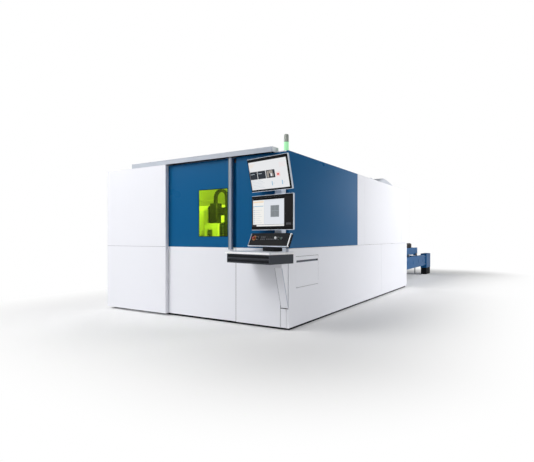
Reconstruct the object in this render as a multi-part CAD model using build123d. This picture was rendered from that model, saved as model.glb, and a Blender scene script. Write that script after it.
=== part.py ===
from build123d import *
import math
import os

# Drawing datum: x from the outer face of the right-hand wall, y from the front, z from the floor

# Housing
body_width = 3612
body_length = 6025
wall_top = 2400
front_top = 2392
roof_top = 2404
seam_height = 1096
panel_bottom = 36
sheet = 3
side_panel_depth = 30
front_panel_depth = 60
panel_gap = 4
frame_tube = 60
plinth_height = 100
seam_recess = 6

# Fixed front panels, left cover and the sliding door between them
column_width = 127
fixed_panel_left = -864
grip_channel_left = -918
channel_depth = 35
cover_right = -2195
cover_front = -66
cover_top = 2394
door_left = -2240
door_upper_right = -922
door_lower_right = -868
door_back = 42
door_bottom = 40
door_top = 2385
window_x = (-1573, -1015)
window_z = (1252, 1962)
handle_x = (-981, -922)
handle_front = -40
handle_z = (1066, 2388)
rail_cover_x = (-2979, -215)
rail_cover_top = 2466
rail_cover_back = 95
track_y = (30, 36)
track_top = 2426
roller_radius = 18
hanger_centres = (-2030, -1150)

# Side wall seams and service flap
blue_panel_end = 2565
upper_seams = (2929, 5511)
lower_seam = 3966
flap_y = (203, 902)
flap_z = (556, 979)
flap_opening_z = (551, 982)
flap_thickness = 22
flap_clearance = 3
flap_hinge = (-6.5, 560)
flap_pin_radius = 3

# Machine bed, pallet rails and gantry, symmetric about the middle of the sheet
sheet_centre = -1390
bed_x = (-360, -220)
bed_y = (650, 5720)
bed_top = 1230
guide_x = (-310, -270)
guide_height = 32
truck_y = (900, 1300)
bridge_y = (980, 1220)
bridge_z = (1300, 1805)
bridge_belly = 1195
partition_x = (-2690, -2680)

# Head carriage and cutting head, which hang in front of the bridge
cross_rail_front = 968
cross_rails_z = (1500, 1700)
carriage_x = (-2096, -1628)
carriage_y = (925, 950)
carriage_z = (1482, 1760)
bracket_z = (1630, 1731)
bracket_front = 790
head_x = (-1968, -1812)
head_y = (745, 880)
head_z = (1482, 1822)
lens_axis = (-1994, 815)
lens_box_z = (1376, 1478)
nozzle_tip = 930
chain_radius = 122
chain_thickness = 46
chain_width = 56
chain_y = 820
chain_centre_z = 1918
chain_link_pitch = 38
loop_radius = 47
loop_thickness = 30
loop_width = 64
loop_y = 880
loop_centre_z = 1737

# Pallets: the same pallet at the cutting level and one level higher
level_step = 250
pallet_length = 3300
inner_pallet_start = 1900
outer_pallet_start = 6200
side_beam_x = (-630, -550)
side_beam_z = (440, 650)
member_z = (570, 620)
comb_z = (620, 650)
slat_top = 800
slat_thickness = 4
slat_pitch = 100
tooth_count = 14
tooth_height = 28
wheel_radius = 49.7
wheel_centre_z = 430
wheel_x = (-546, -506)
rail_x = (-546, -494)
rail_z = (350, 380)

# Pallet gate in the rear wall, and the changer behind it
pallet_gate_x = (sheet_centre - 906, sheet_centre + 906)
pallet_gate_z = (280, 1180)
base_beam_x = (-480, -400)
base_beam_z = (305, 652)
end_post_x = (-560, -370)
end_post_y = (10000, 10600)
end_post_z = (220, 684)
lift_y = (6060, 9980)
guide_rod_x = -700
guide_rod_y = (6250, 9800)
guide_rod_radius = 20
guide_rod_top = 420

# Operator console, drawn square about the post: x to its right, y to the machine
console_pivot = (-80, -82)
console_turn = -12
post_size = (124, 90)
post_z = (925, 2140)
shelf_x = (-521, 268)
shelf_y = (-480, -45)
shelf_z = (915, 1034)
worktop_overhang = 25
worktop_thickness = 28
keypad_x = (-421, 305)
keypad_foot = (-200, 1128)
keypad_height = 190
keypad_tilt = -25
keypad_depth = 45
lower_monitor_x = (-410, 347)
lower_monitor_foot = (-130, 1340)
lower_monitor_height = 462
upper_monitor_x = (-413, 326)
upper_monitor_foot = (-120, 1854)
upper_monitor_height = 445
upper_monitor_tilt = 12.8
monitor_rim = 16
monitor_depth = 60
tilt_pin_radius = 6
lower_tilt_axis = (-55, 1362)
upper_tilt_axis = (-54, 1886)

# Roof fittings
tower_position = (-121, 150)
tower_radius = 33
tower_top = 2655
hood_x = (-1250, -300)
hood_y = (4643, 6010)
spigot_radius = 100
spigot_centre = (-640, 4990)
spigot_top = 2636


def block(x, y, z):
    size = [high - low for low, high in (x, y, z)]
    centre = [(high + low) / 2 for low, high in (x, y, z)]
    return Pos(*centre) * Box(*size)


def mirror_across(part):
    # The same part on the other side of the sheet's centre line
    return mirror(part, about=Plane(origin=(sheet_centre, 0, 0), z_dir=(1, 0, 0)))


def mirrored(span):
    return (2 * sheet_centre - span[1], 2 * sheet_centre - span[0])


def shifted(span, distance):
    return (span[0] + distance, span[1] + distance)


def upright(radius, x, y, z):
    # A round bar standing between two heights
    return Pos(x, y, (z[0] + z[1]) / 2) * Cylinder(radius, z[1] - z[0])


def cassette(x, y, z, outward, edge=2.5):
    # A sheet-metal panel: a face with folded returns, open towards the frame behind it
    shell = block(x, y, z)
    axis = (Axis.X, Axis.Y, Axis.Z)[[way != 0 for way in outward].index(True)]
    face = shell.faces().sort_by(axis)[-1 if sum(outward) > 0 else 0]
    shell = fillet(face.edges(), edge)
    hollow = []
    for (low, high), way in zip((x, y, z), outward):
        start = low - 1 if way > 0 else low + sheet
        end = high + 1 if way < 0 else high - sheet
        hollow.append((start, end))
    return shell - block(*hollow)


def group(*parts):
    solids = []
    for part in parts:
        solids.extend(part.solids())
    return Compound(children=solids)


# Housing


def base_plinth():
    left, right = -body_width + side_panel_depth, -side_panel_depth
    front, rear = front_panel_depth, body_length - side_panel_depth
    height = (0, plinth_height)
    members = []
    for x in ((left, left + 120), (right - 120, right)):
        members.append(block(x, (front, rear), height))
    for y in ((front, front + 120), (rear - 120, rear)):
        members.append(block((left + 120, right - 120), y, height))
    under_bed = (bed_x[0] - 20, bed_x[1] + 20)
    under_left_bed = mirrored(under_bed)
    for x in (under_bed, under_left_bed):
        members.append(block(x, (front + 120, rear - 120), height))
    for y in (1500, 3200, 4900):
        for x in ((left + 120, under_left_bed[0]), (under_left_bed[1], under_bed[0])):
            members.append(block(x, (y, y + 120), height))
    return group(*members)


def enclosure_frame():
    tube = frame_tube
    right = (-side_panel_depth - tube, -side_panel_depth)
    left = (-body_width + side_panel_depth, -body_width + side_panel_depth + tube)
    ring = (wall_top - side_panel_depth - tube, wall_top - side_panel_depth)
    rows = [front_panel_depth, 2540, 3936, body_length - side_panel_depth - tube]
    tubes = []
    for side in (right, left):
        tubes.append(block(side, (rows[0], rows[-1] + tube), ring))
        for y in rows:
            tubes.append(block(side, (y, y + tube), (plinth_height, ring[0])))
    for y in rows:
        tubes.append(block((left[1], right[0]), (y, y + tube), ring))
    for x in (fixed_panel_left, door_left - 20):
        tubes.append(block((x, x + tube), (rows[0], rows[0] + tube), (plinth_height, ring[0])))
    return group(*tubes)


def front_left_cover():
    # One deep cover that the open door slides behind
    left, right = -body_width, cover_right
    shell = block((left, right), (cover_front, front_panel_depth), (panel_bottom, cover_top))
    front_edges = shell.faces().sort_by(Axis.Y)[0].edges()
    shell = fillet(front_edges, 4)
    shell -= block((left + sheet, right + 1), (-4, front_panel_depth + 1), (0, cover_top + 1))
    inside_y = (cover_front + sheet, front_panel_depth + 1)
    shell -= block((left + sheet, right - sheet), inside_y, (panel_bottom + sheet, cover_top - sheet))
    flange = block((left + sheet, left + 90), (front_panel_depth - sheet, front_panel_depth),
                   (panel_bottom, cover_top))
    seam = block((left - 1, right + 1), (cover_front - 1, cover_front + 1.5),
                 (seam_height - 2, seam_height + 2))
    return shell + flange - seam


def front_right_upper_panel():
    # Blue panel whose left edge folds back into the grip channel beside the door
    x, z = (fixed_panel_left, -side_panel_depth - panel_gap), (seam_height, front_top)
    panel = cassette(x, (seam_recess, front_panel_depth), z, (0, -1, 0))
    channel = block((grip_channel_left, x[0] + sheet), (channel_depth, channel_depth + sheet), z)
    back_edge = block((grip_channel_left, grip_channel_left + sheet), (channel_depth, front_panel_depth), z)
    return panel + channel + back_edge


def front_right_lower_panels():
    z = (panel_bottom, seam_height)
    panel = cassette((fixed_panel_left, -column_width - panel_gap), (0, front_panel_depth), z, (0, -1, 0))
    column = cassette((-column_width, -side_panel_depth - panel_gap), (0, front_panel_depth), z, (0, -1, 0))
    return group(panel, column)


def right_wall_blue_panel():
    z = (seam_height + panel_gap, wall_top)
    return cassette((-side_panel_depth, 0), (0, blue_panel_end), z, (1, 0, 0))


def wall_panels(x, outward, spans, z):
    return [cassette(x, span, z, outward) for span in spans]


def split_at(start, end, seams):
    edges = [start, *seams, end]
    half = panel_gap / 2
    spans = []
    for low, high in zip(edges, edges[1:]):
        spans.append((low + half if low != start else low, high - half if high != end else high))
    return spans


def flap_pin(radius, overhang):
    # The hinge pin along the foot of the service flap
    centre = Pos(flap_hinge[0], (flap_y[0] + flap_y[1]) / 2, flap_hinge[1])
    return centre * Rot(90, 0, 0) * Cylinder(radius, flap_y[1] - flap_y[0] + 2 * overhang)


def right_wall_white_panels():
    x, outward = (-side_panel_depth, 0), (1, 0, 0)
    upper = split_at(blue_panel_end + panel_gap, body_length, upper_seams)
    lower = split_at(0, body_length, (lower_seam,))
    panels = wall_panels(x, outward, upper, (seam_height + panel_gap, wall_top))
    panels += wall_panels(x, outward, lower, (panel_bottom, seam_height))
    y = (flap_y[0] - flap_clearance, flap_y[1] + flap_clearance)
    front_lower = panels[len(upper)] - block((-sheet - 1, 1), y, flap_opening_z)
    for lug_y in ((y[0] - 14, y[0]), (y[1], y[1] + 14)):
        front_lower += block((-16, -sheet), lug_y, (flap_hinge[1] - 9, flap_hinge[1] + 9))
    panels[len(upper)] = front_lower - flap_pin(flap_pin_radius + 0.05, 30)
    return group(*panels)


def left_wall_panels():
    x, outward = (-body_width, -body_width + side_panel_depth), (-1, 0, 0)
    front = front_panel_depth
    upper = split_at(front, body_length, (blue_panel_end, lower_seam))
    panels = wall_panels(x, outward, upper, (seam_height + panel_gap, wall_top))
    panels += wall_panels(x, outward, upper, (panel_bottom, seam_height))
    return group(*panels)


def rear_wall():
    x = (-body_width + side_panel_depth, -side_panel_depth)
    y = (body_length - side_panel_depth, body_length)
    wall = cassette(x, y, (panel_bottom, wall_top - panel_gap), (0, 1, 0))
    collar = block((pallet_gate_x[0] - sheet, pallet_gate_x[1] + sheet), (y[0], y[1] - 1),
                   (pallet_gate_z[0] - sheet, pallet_gate_z[1] + sheet))
    gate = block(pallet_gate_x, (y[0] - 1, y[1] + 1), pallet_gate_z)
    return wall + collar - gate


def roof_panels():
    z = (wall_top - side_panel_depth, roof_top)
    x = (-body_width + side_panel_depth + 2, -side_panel_depth - 2)
    rear = body_length - side_panel_depth - 2
    panels = [cassette(x, span, z, (0, 0, 1)) for span in split_at(front_panel_depth + 2, rear, (2100, 4200))]
    brow = cassette((fixed_panel_left, x[1]), (2, front_panel_depth), (front_top, roof_top), (0, 0, 1))
    return group(*panels, brow)


def extraction_hood():
    # Blown hood with a humped back, closed at both sides, and a duct spigot in its front slope
    base = roof_top
    start, crest, tail, end = (hood_y[0], base), (5206, 2631), (5980, 2515), (hood_y[1], base)
    with BuildSketch(Plane.YZ.offset(hood_x[0])) as profile:
        with BuildLine():
            ThreePointArc(start, (4860, 2560), crest)
            ThreePointArc(crest, (5640, 2588), tail)
            Polyline(tail, (hood_y[1], 2490), end, start)
        make_face()
    hood = extrude(profile.sketch, amount=hood_x[1] - hood_x[0])
    sides = hood.faces().sort_by(Axis.X)
    rims = [edge for face in (sides[0], sides[-1]) for edge in face.edges()]
    hood = chamfer([edge for edge in rims if edge.center().Z > base + 20 and edge.length > 200], 24)
    spigot = upright(spigot_radius + 6, *spigot_centre, (base + 60, spigot_top))
    bore = upright(spigot_radius, *spigot_centre, (spigot_top - 80, spigot_top + 1))
    return hood + spigot - bore


def door_rail_cover():
    x, y = rail_cover_x, (cover_front, rail_cover_back)
    hood = block(x, y, (cover_top, rail_cover_top))
    hood = fillet(hood.faces().sort_by(Axis.Y)[0].edges().group_by(Axis.Z)[-1], 6)
    inside_x = (x[0] + sheet, x[1] - sheet)
    hood -= block(inside_x, (y[0] + sheet, y[1] - sheet), (cover_top + sheet, rail_cover_top - sheet))
    hood -= block(inside_x, (-20, y[1] - sheet), (cover_top - 1, cover_top + sheet + 1))
    # The back stands on the roof, and the ends are notched round the roof's front edge
    hood -= block((x[0] - 1, x[1] + 1), (0, y[1] + 1), (cover_top - 1, roof_top))
    return hood


def door_track():
    x = (rail_cover_x[0] + 10, rail_cover_x[1] - 10)
    web = block(x, track_y, (roof_top, track_top))
    foot = block(x, (track_y[0], rail_cover_back - 10), (roof_top, roof_top + 5))
    return web + foot


def signal_tower():
    x, y = tower_position
    foot = upright(tower_radius + 12, x, y, (roof_top, roof_top + 8))
    socket = upright(tower_radius, x, y, (roof_top + 8, roof_top + 26))
    cap = upright(tower_radius, x, y, (tower_top - 105, tower_top))
    cap = chamfer(cap.edges().sort_by(Axis.Z)[-1], 8)
    return group(foot + socket, cap)


def signal_lamp():
    return upright(tower_radius, *tower_position, (roof_top + 26, tower_top - 105))


def machine_cabinets():
    # The control cabinet and the laser source stand in the left bay, away from the cutting room
    z = (plinth_height, 2000)
    cabinets = []
    for y in ((260, 2300), (2380, 4400)):
        cabinet = block((-3510, -2760), y, z)
        cabinet = fillet(cabinet.edges().filter_by(Axis.Z), 12)
        middle = (y[0] + y[1]) / 2
        cabinet -= block((-2764, -2750), (middle - 3, middle + 3), (z[0] + 60, z[1] - 60))
        for row in range(6):
            height = z[1] - 160 - row * 40
            cabinet -= block((-2766, -2750), (y[0] + 200, y[0] + 700), (height, height + 14))
        cabinets.append(cabinet)
    return group(*cabinets)


def chamber_partition():
    y = (front_panel_depth + frame_tube, body_length - side_panel_depth - frame_tube)
    z = (plinth_height, wall_top - side_panel_depth - frame_tube)
    wall = block(partition_x, y, z)
    for row in range(1, 6):
        height = z[0] + row * (z[1] - z[0]) / 6
        rib = block((partition_x[1], partition_x[1] + 14), (y[0] + 60, y[1] - 60), (height - 25, height + 25))
        wall += chamfer(rib.faces().sort_by(Axis.X)[-1].edges(), 12)
    return wall


def chamber_light():
    z = wall_top - side_panel_depth - frame_tube
    y = (front_panel_depth, front_panel_depth + frame_tube)
    bar = block((-2000, -900), y, (z - 34, z))
    return fillet(bar.edges().filter_by(Axis.X).group_by(Axis.Z)[0], 14)


def door_interlock():
    body = block((-908, -878), (channel_depth - 17, channel_depth), (2318, 2368))
    return fillet(body.edges().filter_by(Axis.Y), 6)


# Bed and pallet rails


def machine_bed():
    # Two welded box beams, their inner webs opened with pockets that have cut corners
    beam = block(bed_x, bed_y, (plinth_height, bed_top))
    pocket_count = 6
    pitch = (bed_y[1] - bed_y[0]) / pocket_count
    for index in range(pocket_count):
        middle = bed_y[0] + (index + 0.5) * pitch
        for z in ((470, 770), (860, 1140)):
            pocket = block((bed_x[1] - 50, bed_x[1] + 1), (middle - 300, middle + 300), z)
            beam -= chamfer(pocket.edges().filter_by(Axis.X), 60)
    return group(beam, mirror_across(beam))


def gantry_rails():
    y = (bed_y[0] + 40, bed_y[1] - 40)
    rail = block(guide_x, y, (bed_top, bed_top + guide_height))
    rack = block((guide_x[1] + 14, guide_x[1] + 34), y, (bed_top, bed_top + 22))
    rail = chamfer(rail.edges().filter_by(Axis.Y).group_by(Axis.Z)[-1], 5)
    return group(rail, rack, mirror_across(rail), mirror_across(rack))


def pallet_rails():
    rail = block(rail_x, (1750, 6045), rail_z)
    for step in range(6):
        y = 1800 + step * 770
        rail += block((rail_x[1], bed_x[0]), (y, y + 50), (rail_z[0] - 60, rail_z[1]))
    return group(rail, mirror_across(rail))


def slag_conveyor():
    # A belt conveyor for offcuts and slag, its belt a flat loop round two drums
    y, radius, axis_z = (1760, 5700), 68, 190
    with BuildSketch(Plane.YZ.offset(-2060)) as loop:
        with Locations(((y[0] + y[1]) / 2, axis_z)):
            SlotOverall(y[1] - y[0], 2 * radius)
    belt = extrude(loop.sketch, amount=1340)
    for step in range(24):
        cleat = y[0] + 200 + step * 153
        belt += block((-2040, -740), (cleat, cleat + 12), (axis_z + radius - 1, axis_z + radius + 14))
    for x in ((-720, -690), mirrored((-720, -690))):
        belt += block(x, (y[0] + 40, y[1] - 40), (plinth_height, axis_z + radius - 10))
    return belt


# Sliding door


def door_lower_skin():
    return cassette((door_left, door_lower_right), (2, door_back), (door_bottom, seam_height), (0, -1, 0))


def door_upper_skin():
    x, z = (door_left, door_upper_right), (seam_height, door_top)
    skin = cassette(x, (2 + seam_recess, door_back), z, (0, -1, 0))
    opening = block(window_x, (0, 20), window_z)
    skin -= fillet(opening.edges().filter_by(Axis.Y), 10)
    tray_y = (door_back - sheet, door_back)
    stiffeners = []
    for left in (window_x[0] - 80, window_x[1] + 30):
        stiffeners.append(block((left, left + 40), (2 + seam_recess + sheet, door_back),
                                (z[0] + sheet, z[1] - sheet)))
    bridge = block((x[0] + sheet, x[1] - sheet), tray_y, (z[1] - 200, z[1] - sheet))
    for piece in (*stiffeners, bridge):
        skin += piece
    return skin


def door_window():
    front = 2 + seam_recess + sheet
    pane = block((window_x[0] - 15, window_x[1] + 15), (front, front + 8),
                 (window_z[0] - 15, window_z[1] + 15))
    return fillet(pane.edges().filter_by(Axis.Y), 12)


def door_handle():
    # A full-height grip extrusion with a rounded nose and a slot along its inner side
    with BuildSketch() as profile:
        with BuildLine():
            left, right, back = handle_x[0], handle_x[1], 2
            nose = 12
            Line((left, back), (left, handle_front + nose))
            RadiusArc((left, handle_front + nose), (left + nose, handle_front), nose)
            Line((left + nose, handle_front), (right - nose, handle_front))
            RadiusArc((right - nose, handle_front), (right, handle_front + nose), nose)
            Polyline((right, handle_front + nose), (right, -14), (right - 22, -14), (right - 22, -4),
                     (right, -4), (right, back), (left, back))
        make_face()
    bar = Pos(0, 0, handle_z[0]) * extrude(profile.sketch, amount=handle_z[1] - handle_z[0])
    spacer = block(handle_x, (back, back + seam_recess), (seam_height, door_top))
    return bar + spacer


def door_hangers():
    hangers = []
    wheel_z = track_top + roller_radius + 0.3
    wheel_y = (track_y[0] + track_y[1]) / 2
    for centre in hanger_centres:
        plate = block((centre - 75, centre + 75), (14, 22), (door_top, wheel_z + 12))
        plate = fillet(plate.edges().filter_by(Axis.Y).group_by(Axis.Z)[-1], 12)
        plate += block((centre - 75, centre + 75), (14, 38), (door_top, door_top + 5))
        for x in (centre - 50, centre + 50):
            wheel = Pos(x, wheel_y, wheel_z) * Rot(90, 0, 0) * Cylinder(roller_radius, 12)
            pin = Pos(x, 24, wheel_z) * Rot(90, 0, 0) * Cylinder(6, 8)
            plate += wheel + pin
        hangers.append(plate)
    return group(*hangers)


# Service flap


def service_flap():
    flap = cassette((-flap_thickness, 0), flap_y, flap_z, (1, 0, 0), 1.5)
    grip_z = (flap_z[1] - 80, flap_z[1] - 52)
    flap += block((-16, -2), (flap_y[0] + sheet, flap_y[1] - sheet), (grip_z[0] - sheet, grip_z[1] + sheet))
    flap -= block((-12, 1), (flap_y[0] + 14, flap_y[1] - 14), grip_z)
    return flap + flap_pin(flap_pin_radius, 14)


# Operator console


console_place = Pos(console_pivot[0], console_pivot[1], 0) * Rot(0, 0, console_turn)


def console_leg():
    # A wedge of folded sheet that leans out from the corner column under the swivel
    reach = 168
    top = shelf_z[0] - 30
    with BuildSketch(Plane.YZ.offset(-118)) as profile:
        Polygon((0, 301), (-reach, top - 40), (-reach, top), (0, top), align=None)
    wedge = extrude(profile.sketch, amount=108)
    lean = [edge for edge in wedge.faces().sort_by(Axis.Y)[0].edges() if abs(edge.tangent_at(0).X) < 0.5]
    wedge = fillet(lean, 6)
    plate = block((-140, -8), (-reach - 4, 0), (top, top + 20))
    wedge += fillet(plate.edges().filter_by(Axis.Z).sort_by(Axis.Y)[:2], 12)
    wedge += upright(45, *console_pivot, (top + 20, post_z[0]))
    wedge += upright(25, *console_pivot, (post_z[0], post_z[0] + 55))
    return wedge


def tilt_fork(tilt_axis):
    # The post's boss and the through pin that a monitor tilts on
    y, z = tilt_axis
    boss = block((-38, 38), (y - 8, -post_size[1] / 2), (z - 10, z + 10))
    return boss + Pos(0, y, z) * Rot(0, 90, 0) * Cylinder(tilt_pin_radius, 124)


def console_post():
    half_x, half_y = post_size[0] / 2, post_size[1] / 2
    post = block((-half_x, half_x), (-half_y, half_y), post_z)
    post = fillet(post.edges().filter_by(Axis.Z), 10)
    post = fillet(post.faces().sort_by(Axis.Z)[-1].edges(), 3)
    post -= upright(25.05, 0, 0, (post_z[0] - 1, post_z[0] + 56))
    for tilt_axis in (lower_tilt_axis, upper_tilt_axis):
        post += tilt_fork(tilt_axis)
    return console_place * post


bay_walls = 8
bay_x = (shelf_x[0] + 16, shelf_x[1] - 16)
bay_depth_y = (shelf_y[0], shelf_y[1] - 20)
shelf_middle = (shelf_z[0] + shelf_z[1]) / 2
lower_bay_z = (shelf_z[0] + bay_walls, shelf_middle - bay_walls / 2)
upper_bay_z = (shelf_middle + bay_walls / 2, shelf_z[1] - bay_walls)


def console_shelf():
    box = block(shelf_x, shelf_y, shelf_z)
    box = fillet(box.edges().filter_by(Axis.Z), 6)
    for bay_z in (lower_bay_z, upper_bay_z):
        box -= block(bay_x, (bay_depth_y[0] - 1, bay_depth_y[1]), bay_z)
    return console_place * box


def console_worktop():
    x = (shelf_x[0] - worktop_overhang, shelf_x[1] + worktop_overhang)
    y = (shelf_y[0] - worktop_overhang, shelf_y[1])
    slab = block(x, y, (shelf_z[1], shelf_z[1] + worktop_thickness))
    slab = fillet(slab.edges().filter_by(Axis.Z), 18)
    slab = fillet(slab.faces().sort_by(Axis.Z)[-1].edges(), 4)
    return console_place * slab


def drawer(bay_z):
    # An open tray with a flush front and a finger lip
    x = (bay_x[0] + 2, bay_x[1] - 2)
    y = (bay_depth_y[0] + 6, bay_depth_y[1] - 8)
    z = (bay_z[0] + 2, bay_z[1] - 3)
    tray = block(x, y, z)
    tray -= block((x[0] + 4, x[1] - 4), (y[0] + 6, y[1] - 4), (z[0] + 4, z[1] + 1))
    lip = block((x[0] + 60, x[1] - 60), (y[0] - 5, y[0]), (z[1] - 8, z[1]))
    return console_place * (tray + fillet(lip.edges().filter_by(Axis.X).group_by(Axis.Y)[0], 3))


def keyboard_drawer():
    return drawer(upper_bay_z)


def document_drawer():
    return drawer(lower_bay_z)


# A panel of the console is drawn with its face on y = 0 and its foot on z = 0, then leant and lifted


def panel_place(foot, tilt):
    return console_place * Pos(0, foot[0], foot[1]) * Rot(tilt, 0, 0)


keypad_place = panel_place(keypad_foot, keypad_tilt)
lower_monitor_place = panel_place(lower_monitor_foot, 0)
upper_monitor_place = panel_place(upper_monitor_foot, upper_monitor_tilt)
control_height = 118
emergency_stop_x = -341
feed_knob_x = -282
mode_knob_x = 60
start_button_x = 150
control_holes = ((emergency_stop_x, 9), (feed_knob_x, 6), (mode_knob_x, 6), (start_button_x, 9))


def keypad_panel():
    # Control desk in a wedge housing, with a raised rim, on a block that reaches out from the post
    body = block(keypad_x, (0, keypad_depth), (0, keypad_height))
    body = fillet(body.edges().filter_by(Axis.Y), 14)
    body = chamfer(body.faces().sort_by(Axis.Y)[-1].edges(), 8)
    recess = block((keypad_x[0] + 9, keypad_x[1] - 16), (-1, 3), (10, keypad_height - 8))
    body -= fillet(recess.edges().filter_by(Axis.Y), 8)
    for column in range(4):
        for row in range(2):
            x, z = 190 + column * 24, 96 + row * 30
            body += block((x, x + 17), (0.5, 3), (z, z + 17))
    for x, radius in control_holes:
        body -= Pos(x, 6, control_height) * Rot(90, 0, 0) * Cylinder(radius + 0.3, 26)
    collar = Pos(emergency_stop_x, 1.5, control_height) * Rot(90, 0, 0) * Cylinder(27, 5)
    body += collar - Pos(emergency_stop_x, 0, control_height) * Rot(90, 0, 0) * Cylinder(9.3, 30)
    placed = keypad_place * body
    bracket = block((-150, 75), (-185, -post_size[1] / 2), (1066, 1170))
    bracket = fillet(bracket.edges().filter_by(Axis.Z).sort_by(Axis.Y)[:2], 10)
    under_desk = keypad_place * block((-400, 400), (-300, keypad_depth), (0, 400))
    return placed + (console_place * bracket - under_desk)


def control(x, radius, height, stem):
    # A round control whose stem runs in the desk's hole: its head stands off the recessed face
    head = Pos(0, -height / 2 - 5, 0) * Rot(90, 0, 0) * Cylinder(radius, height)
    head = chamfer(head.edges().sort_by(Axis.Y)[0], 2)
    shaft = Pos(0, 2, 0) * Rot(90, 0, 0) * Cylinder(stem, 16)
    return Pos(x, 0, control_height) * (head + shaft)


def emergency_stop():
    return keypad_place * control(emergency_stop_x, 20, 16, 9)


def grip_knob(x):
    knob = control(x, 14, 15, 6)
    pointer = block((x - 2, x + 2), (-21.5, -5), (control_height, control_height + 15.5))
    return keypad_place * (knob + pointer)


def feed_knob():
    return grip_knob(feed_knob_x)


def mode_knob():
    return grip_knob(mode_knob_x)


def start_button():
    return keypad_place * control(start_button_x, 11, 6, 9)


def monitor_housing(x, height, screen_x, screen_z, foot, tilt, tilt_axis):
    # A slim rounded frame, a smaller box of electronics behind it and two knuckles on the tilt pin
    body = block(x, (0, monitor_rim), (0, height))
    body = fillet(body.edges().filter_by(Axis.Y), 14)
    body = chamfer(body.faces().sort_by(Axis.Y)[0].edges(), 2)
    box = block((x[0] + 60, x[1] - 60), (monitor_rim, monitor_depth), (10, height - 60))
    body += chamfer(box.faces().sort_by(Axis.Y)[-1].edges(), 14)
    body -= block(screen_x, (-1, 7), screen_z)
    placed = panel_place(foot, tilt) * body
    y, z = tilt_axis
    tilt_hole = Pos(0, y, z) * Rot(0, 90, 0) * Cylinder(tilt_pin_radius + 0.05, 200)
    for side in (-1, 1):
        knuckle = Pos(side * 50, y, z) * Rot(0, 90, 0) * Cylinder(8.6, 20)
        knuckle += block((side * 50 - 10, side * 50 + 10), (y - 18, y), (z - 8.6, z + 8.6))
        placed += console_place * (knuckle - tilt_hole)
    return placed


lower_screen_x = (lower_monitor_x[0] + 18, 184)
lower_screen_z = (51, 428)
upper_screen_x = (upper_monitor_x[0] + 14, upper_monitor_x[1] - 46)
upper_screen_z = (28, upper_monitor_height - 42)


def lower_monitor():
    return monitor_housing(lower_monitor_x, lower_monitor_height, lower_screen_x, lower_screen_z,
                           lower_monitor_foot, 0, lower_tilt_axis)


def upper_monitor():
    return monitor_housing(upper_monitor_x, upper_monitor_height, upper_screen_x, upper_screen_z,
                           upper_monitor_foot, upper_monitor_tilt, upper_tilt_axis)


def lower_screen():
    return lower_monitor_place * block(lower_screen_x, (2, 7), lower_screen_z)


def upper_screen():
    return upper_monitor_place * block(upper_screen_x, (2, 7), upper_screen_z)


# Gantry, carriage and cutting head


def gantry_trucks():
    # Carriage plates over ball blocks that straddle each rail, with the drive motors outboard
    block_z = (bed_top + 10, bed_top + guide_height + 4)
    truck = block((-372, -208), truck_y, (block_z[1], bridge_z[0]))
    truck = fillet(truck.edges().filter_by(Axis.Z), 20)
    for start in (truck_y[0] + 15, truck_y[1] - 105):
        shoe = block((guide_x[0] - 18, guide_x[1] + 12), (start, start + 90), block_z)
        shoe -= block((guide_x[0] - 0.5, guide_x[1] + 0.5), (start - 1, start + 91),
                      (0, bed_top + guide_height + 0.5))
        truck += shoe
    gearbox = block((-208, -120), (truck_y[0] + 20, truck_y[0] + 130), (bridge_z[0] - 30, bridge_z[0] + 70))
    truck += fillet(gearbox.edges().filter_by(Axis.Z), 10)
    truck += upright(42, -160, truck_y[0] + 75, (bridge_z[0] + 70, bridge_z[0] + 260))
    return group(truck, mirror_across(truck))


def gantry_bridge():
    # A trapezoid box beam with a deeper belly between the bed beams, pierced from behind with
    # rounded windows, and two guide rails on its front
    end = bed_x[1] + 5
    x = (mirrored((end, end))[0], end)
    front, rear = bridge_y
    with BuildSketch(Plane.YZ.offset(x[0])) as profile:
        Polygon((front, bridge_z[0]), (rear, bridge_z[0]), (rear, bridge_z[0] + 200),
                (rear - 110, bridge_z[1]), (front, bridge_z[1]), align=None)
    beam = extrude(profile.sketch, amount=x[1] - x[0])
    belly_x = (mirrored(bed_x)[1] + 20, bed_x[0] - 20)
    belly = block(belly_x, bridge_y, (bridge_belly, bridge_z[0]))
    beam += chamfer(belly.faces().sort_by(Axis.Z)[0].edges(), 20)
    window_count = 7
    pitch = (x[1] - x[0] - 200) / window_count
    for index in range(window_count):
        middle = x[0] + 100 + (index + 0.5) * pitch
        hole_z = (bridge_z[0] + 80, bridge_z[1] - 75)
        hole = block((middle - 95, middle + 95), (front + 60, rear + 1), hole_z)
        beam -= fillet(hole.edges().filter_by(Axis.Y), 45)
    for z in cross_rails_z:
        beam += block((x[0] + 30, x[1] - 30), (cross_rail_front, front), (z, z + 28))
    return beam


def link(thickness, width, pitch):
    # An open link: a rounded frame with a rib across its outer side and a narrow waist to the next
    frame = Box(thickness, width, pitch - 7)
    frame = chamfer(frame.edges().filter_by(Axis.Y), 4)
    return frame + Box(thickness + 5, 9, 14) - Pos(0, width / 2, 0) * Box(thickness / 2, 8, 12)


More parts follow.
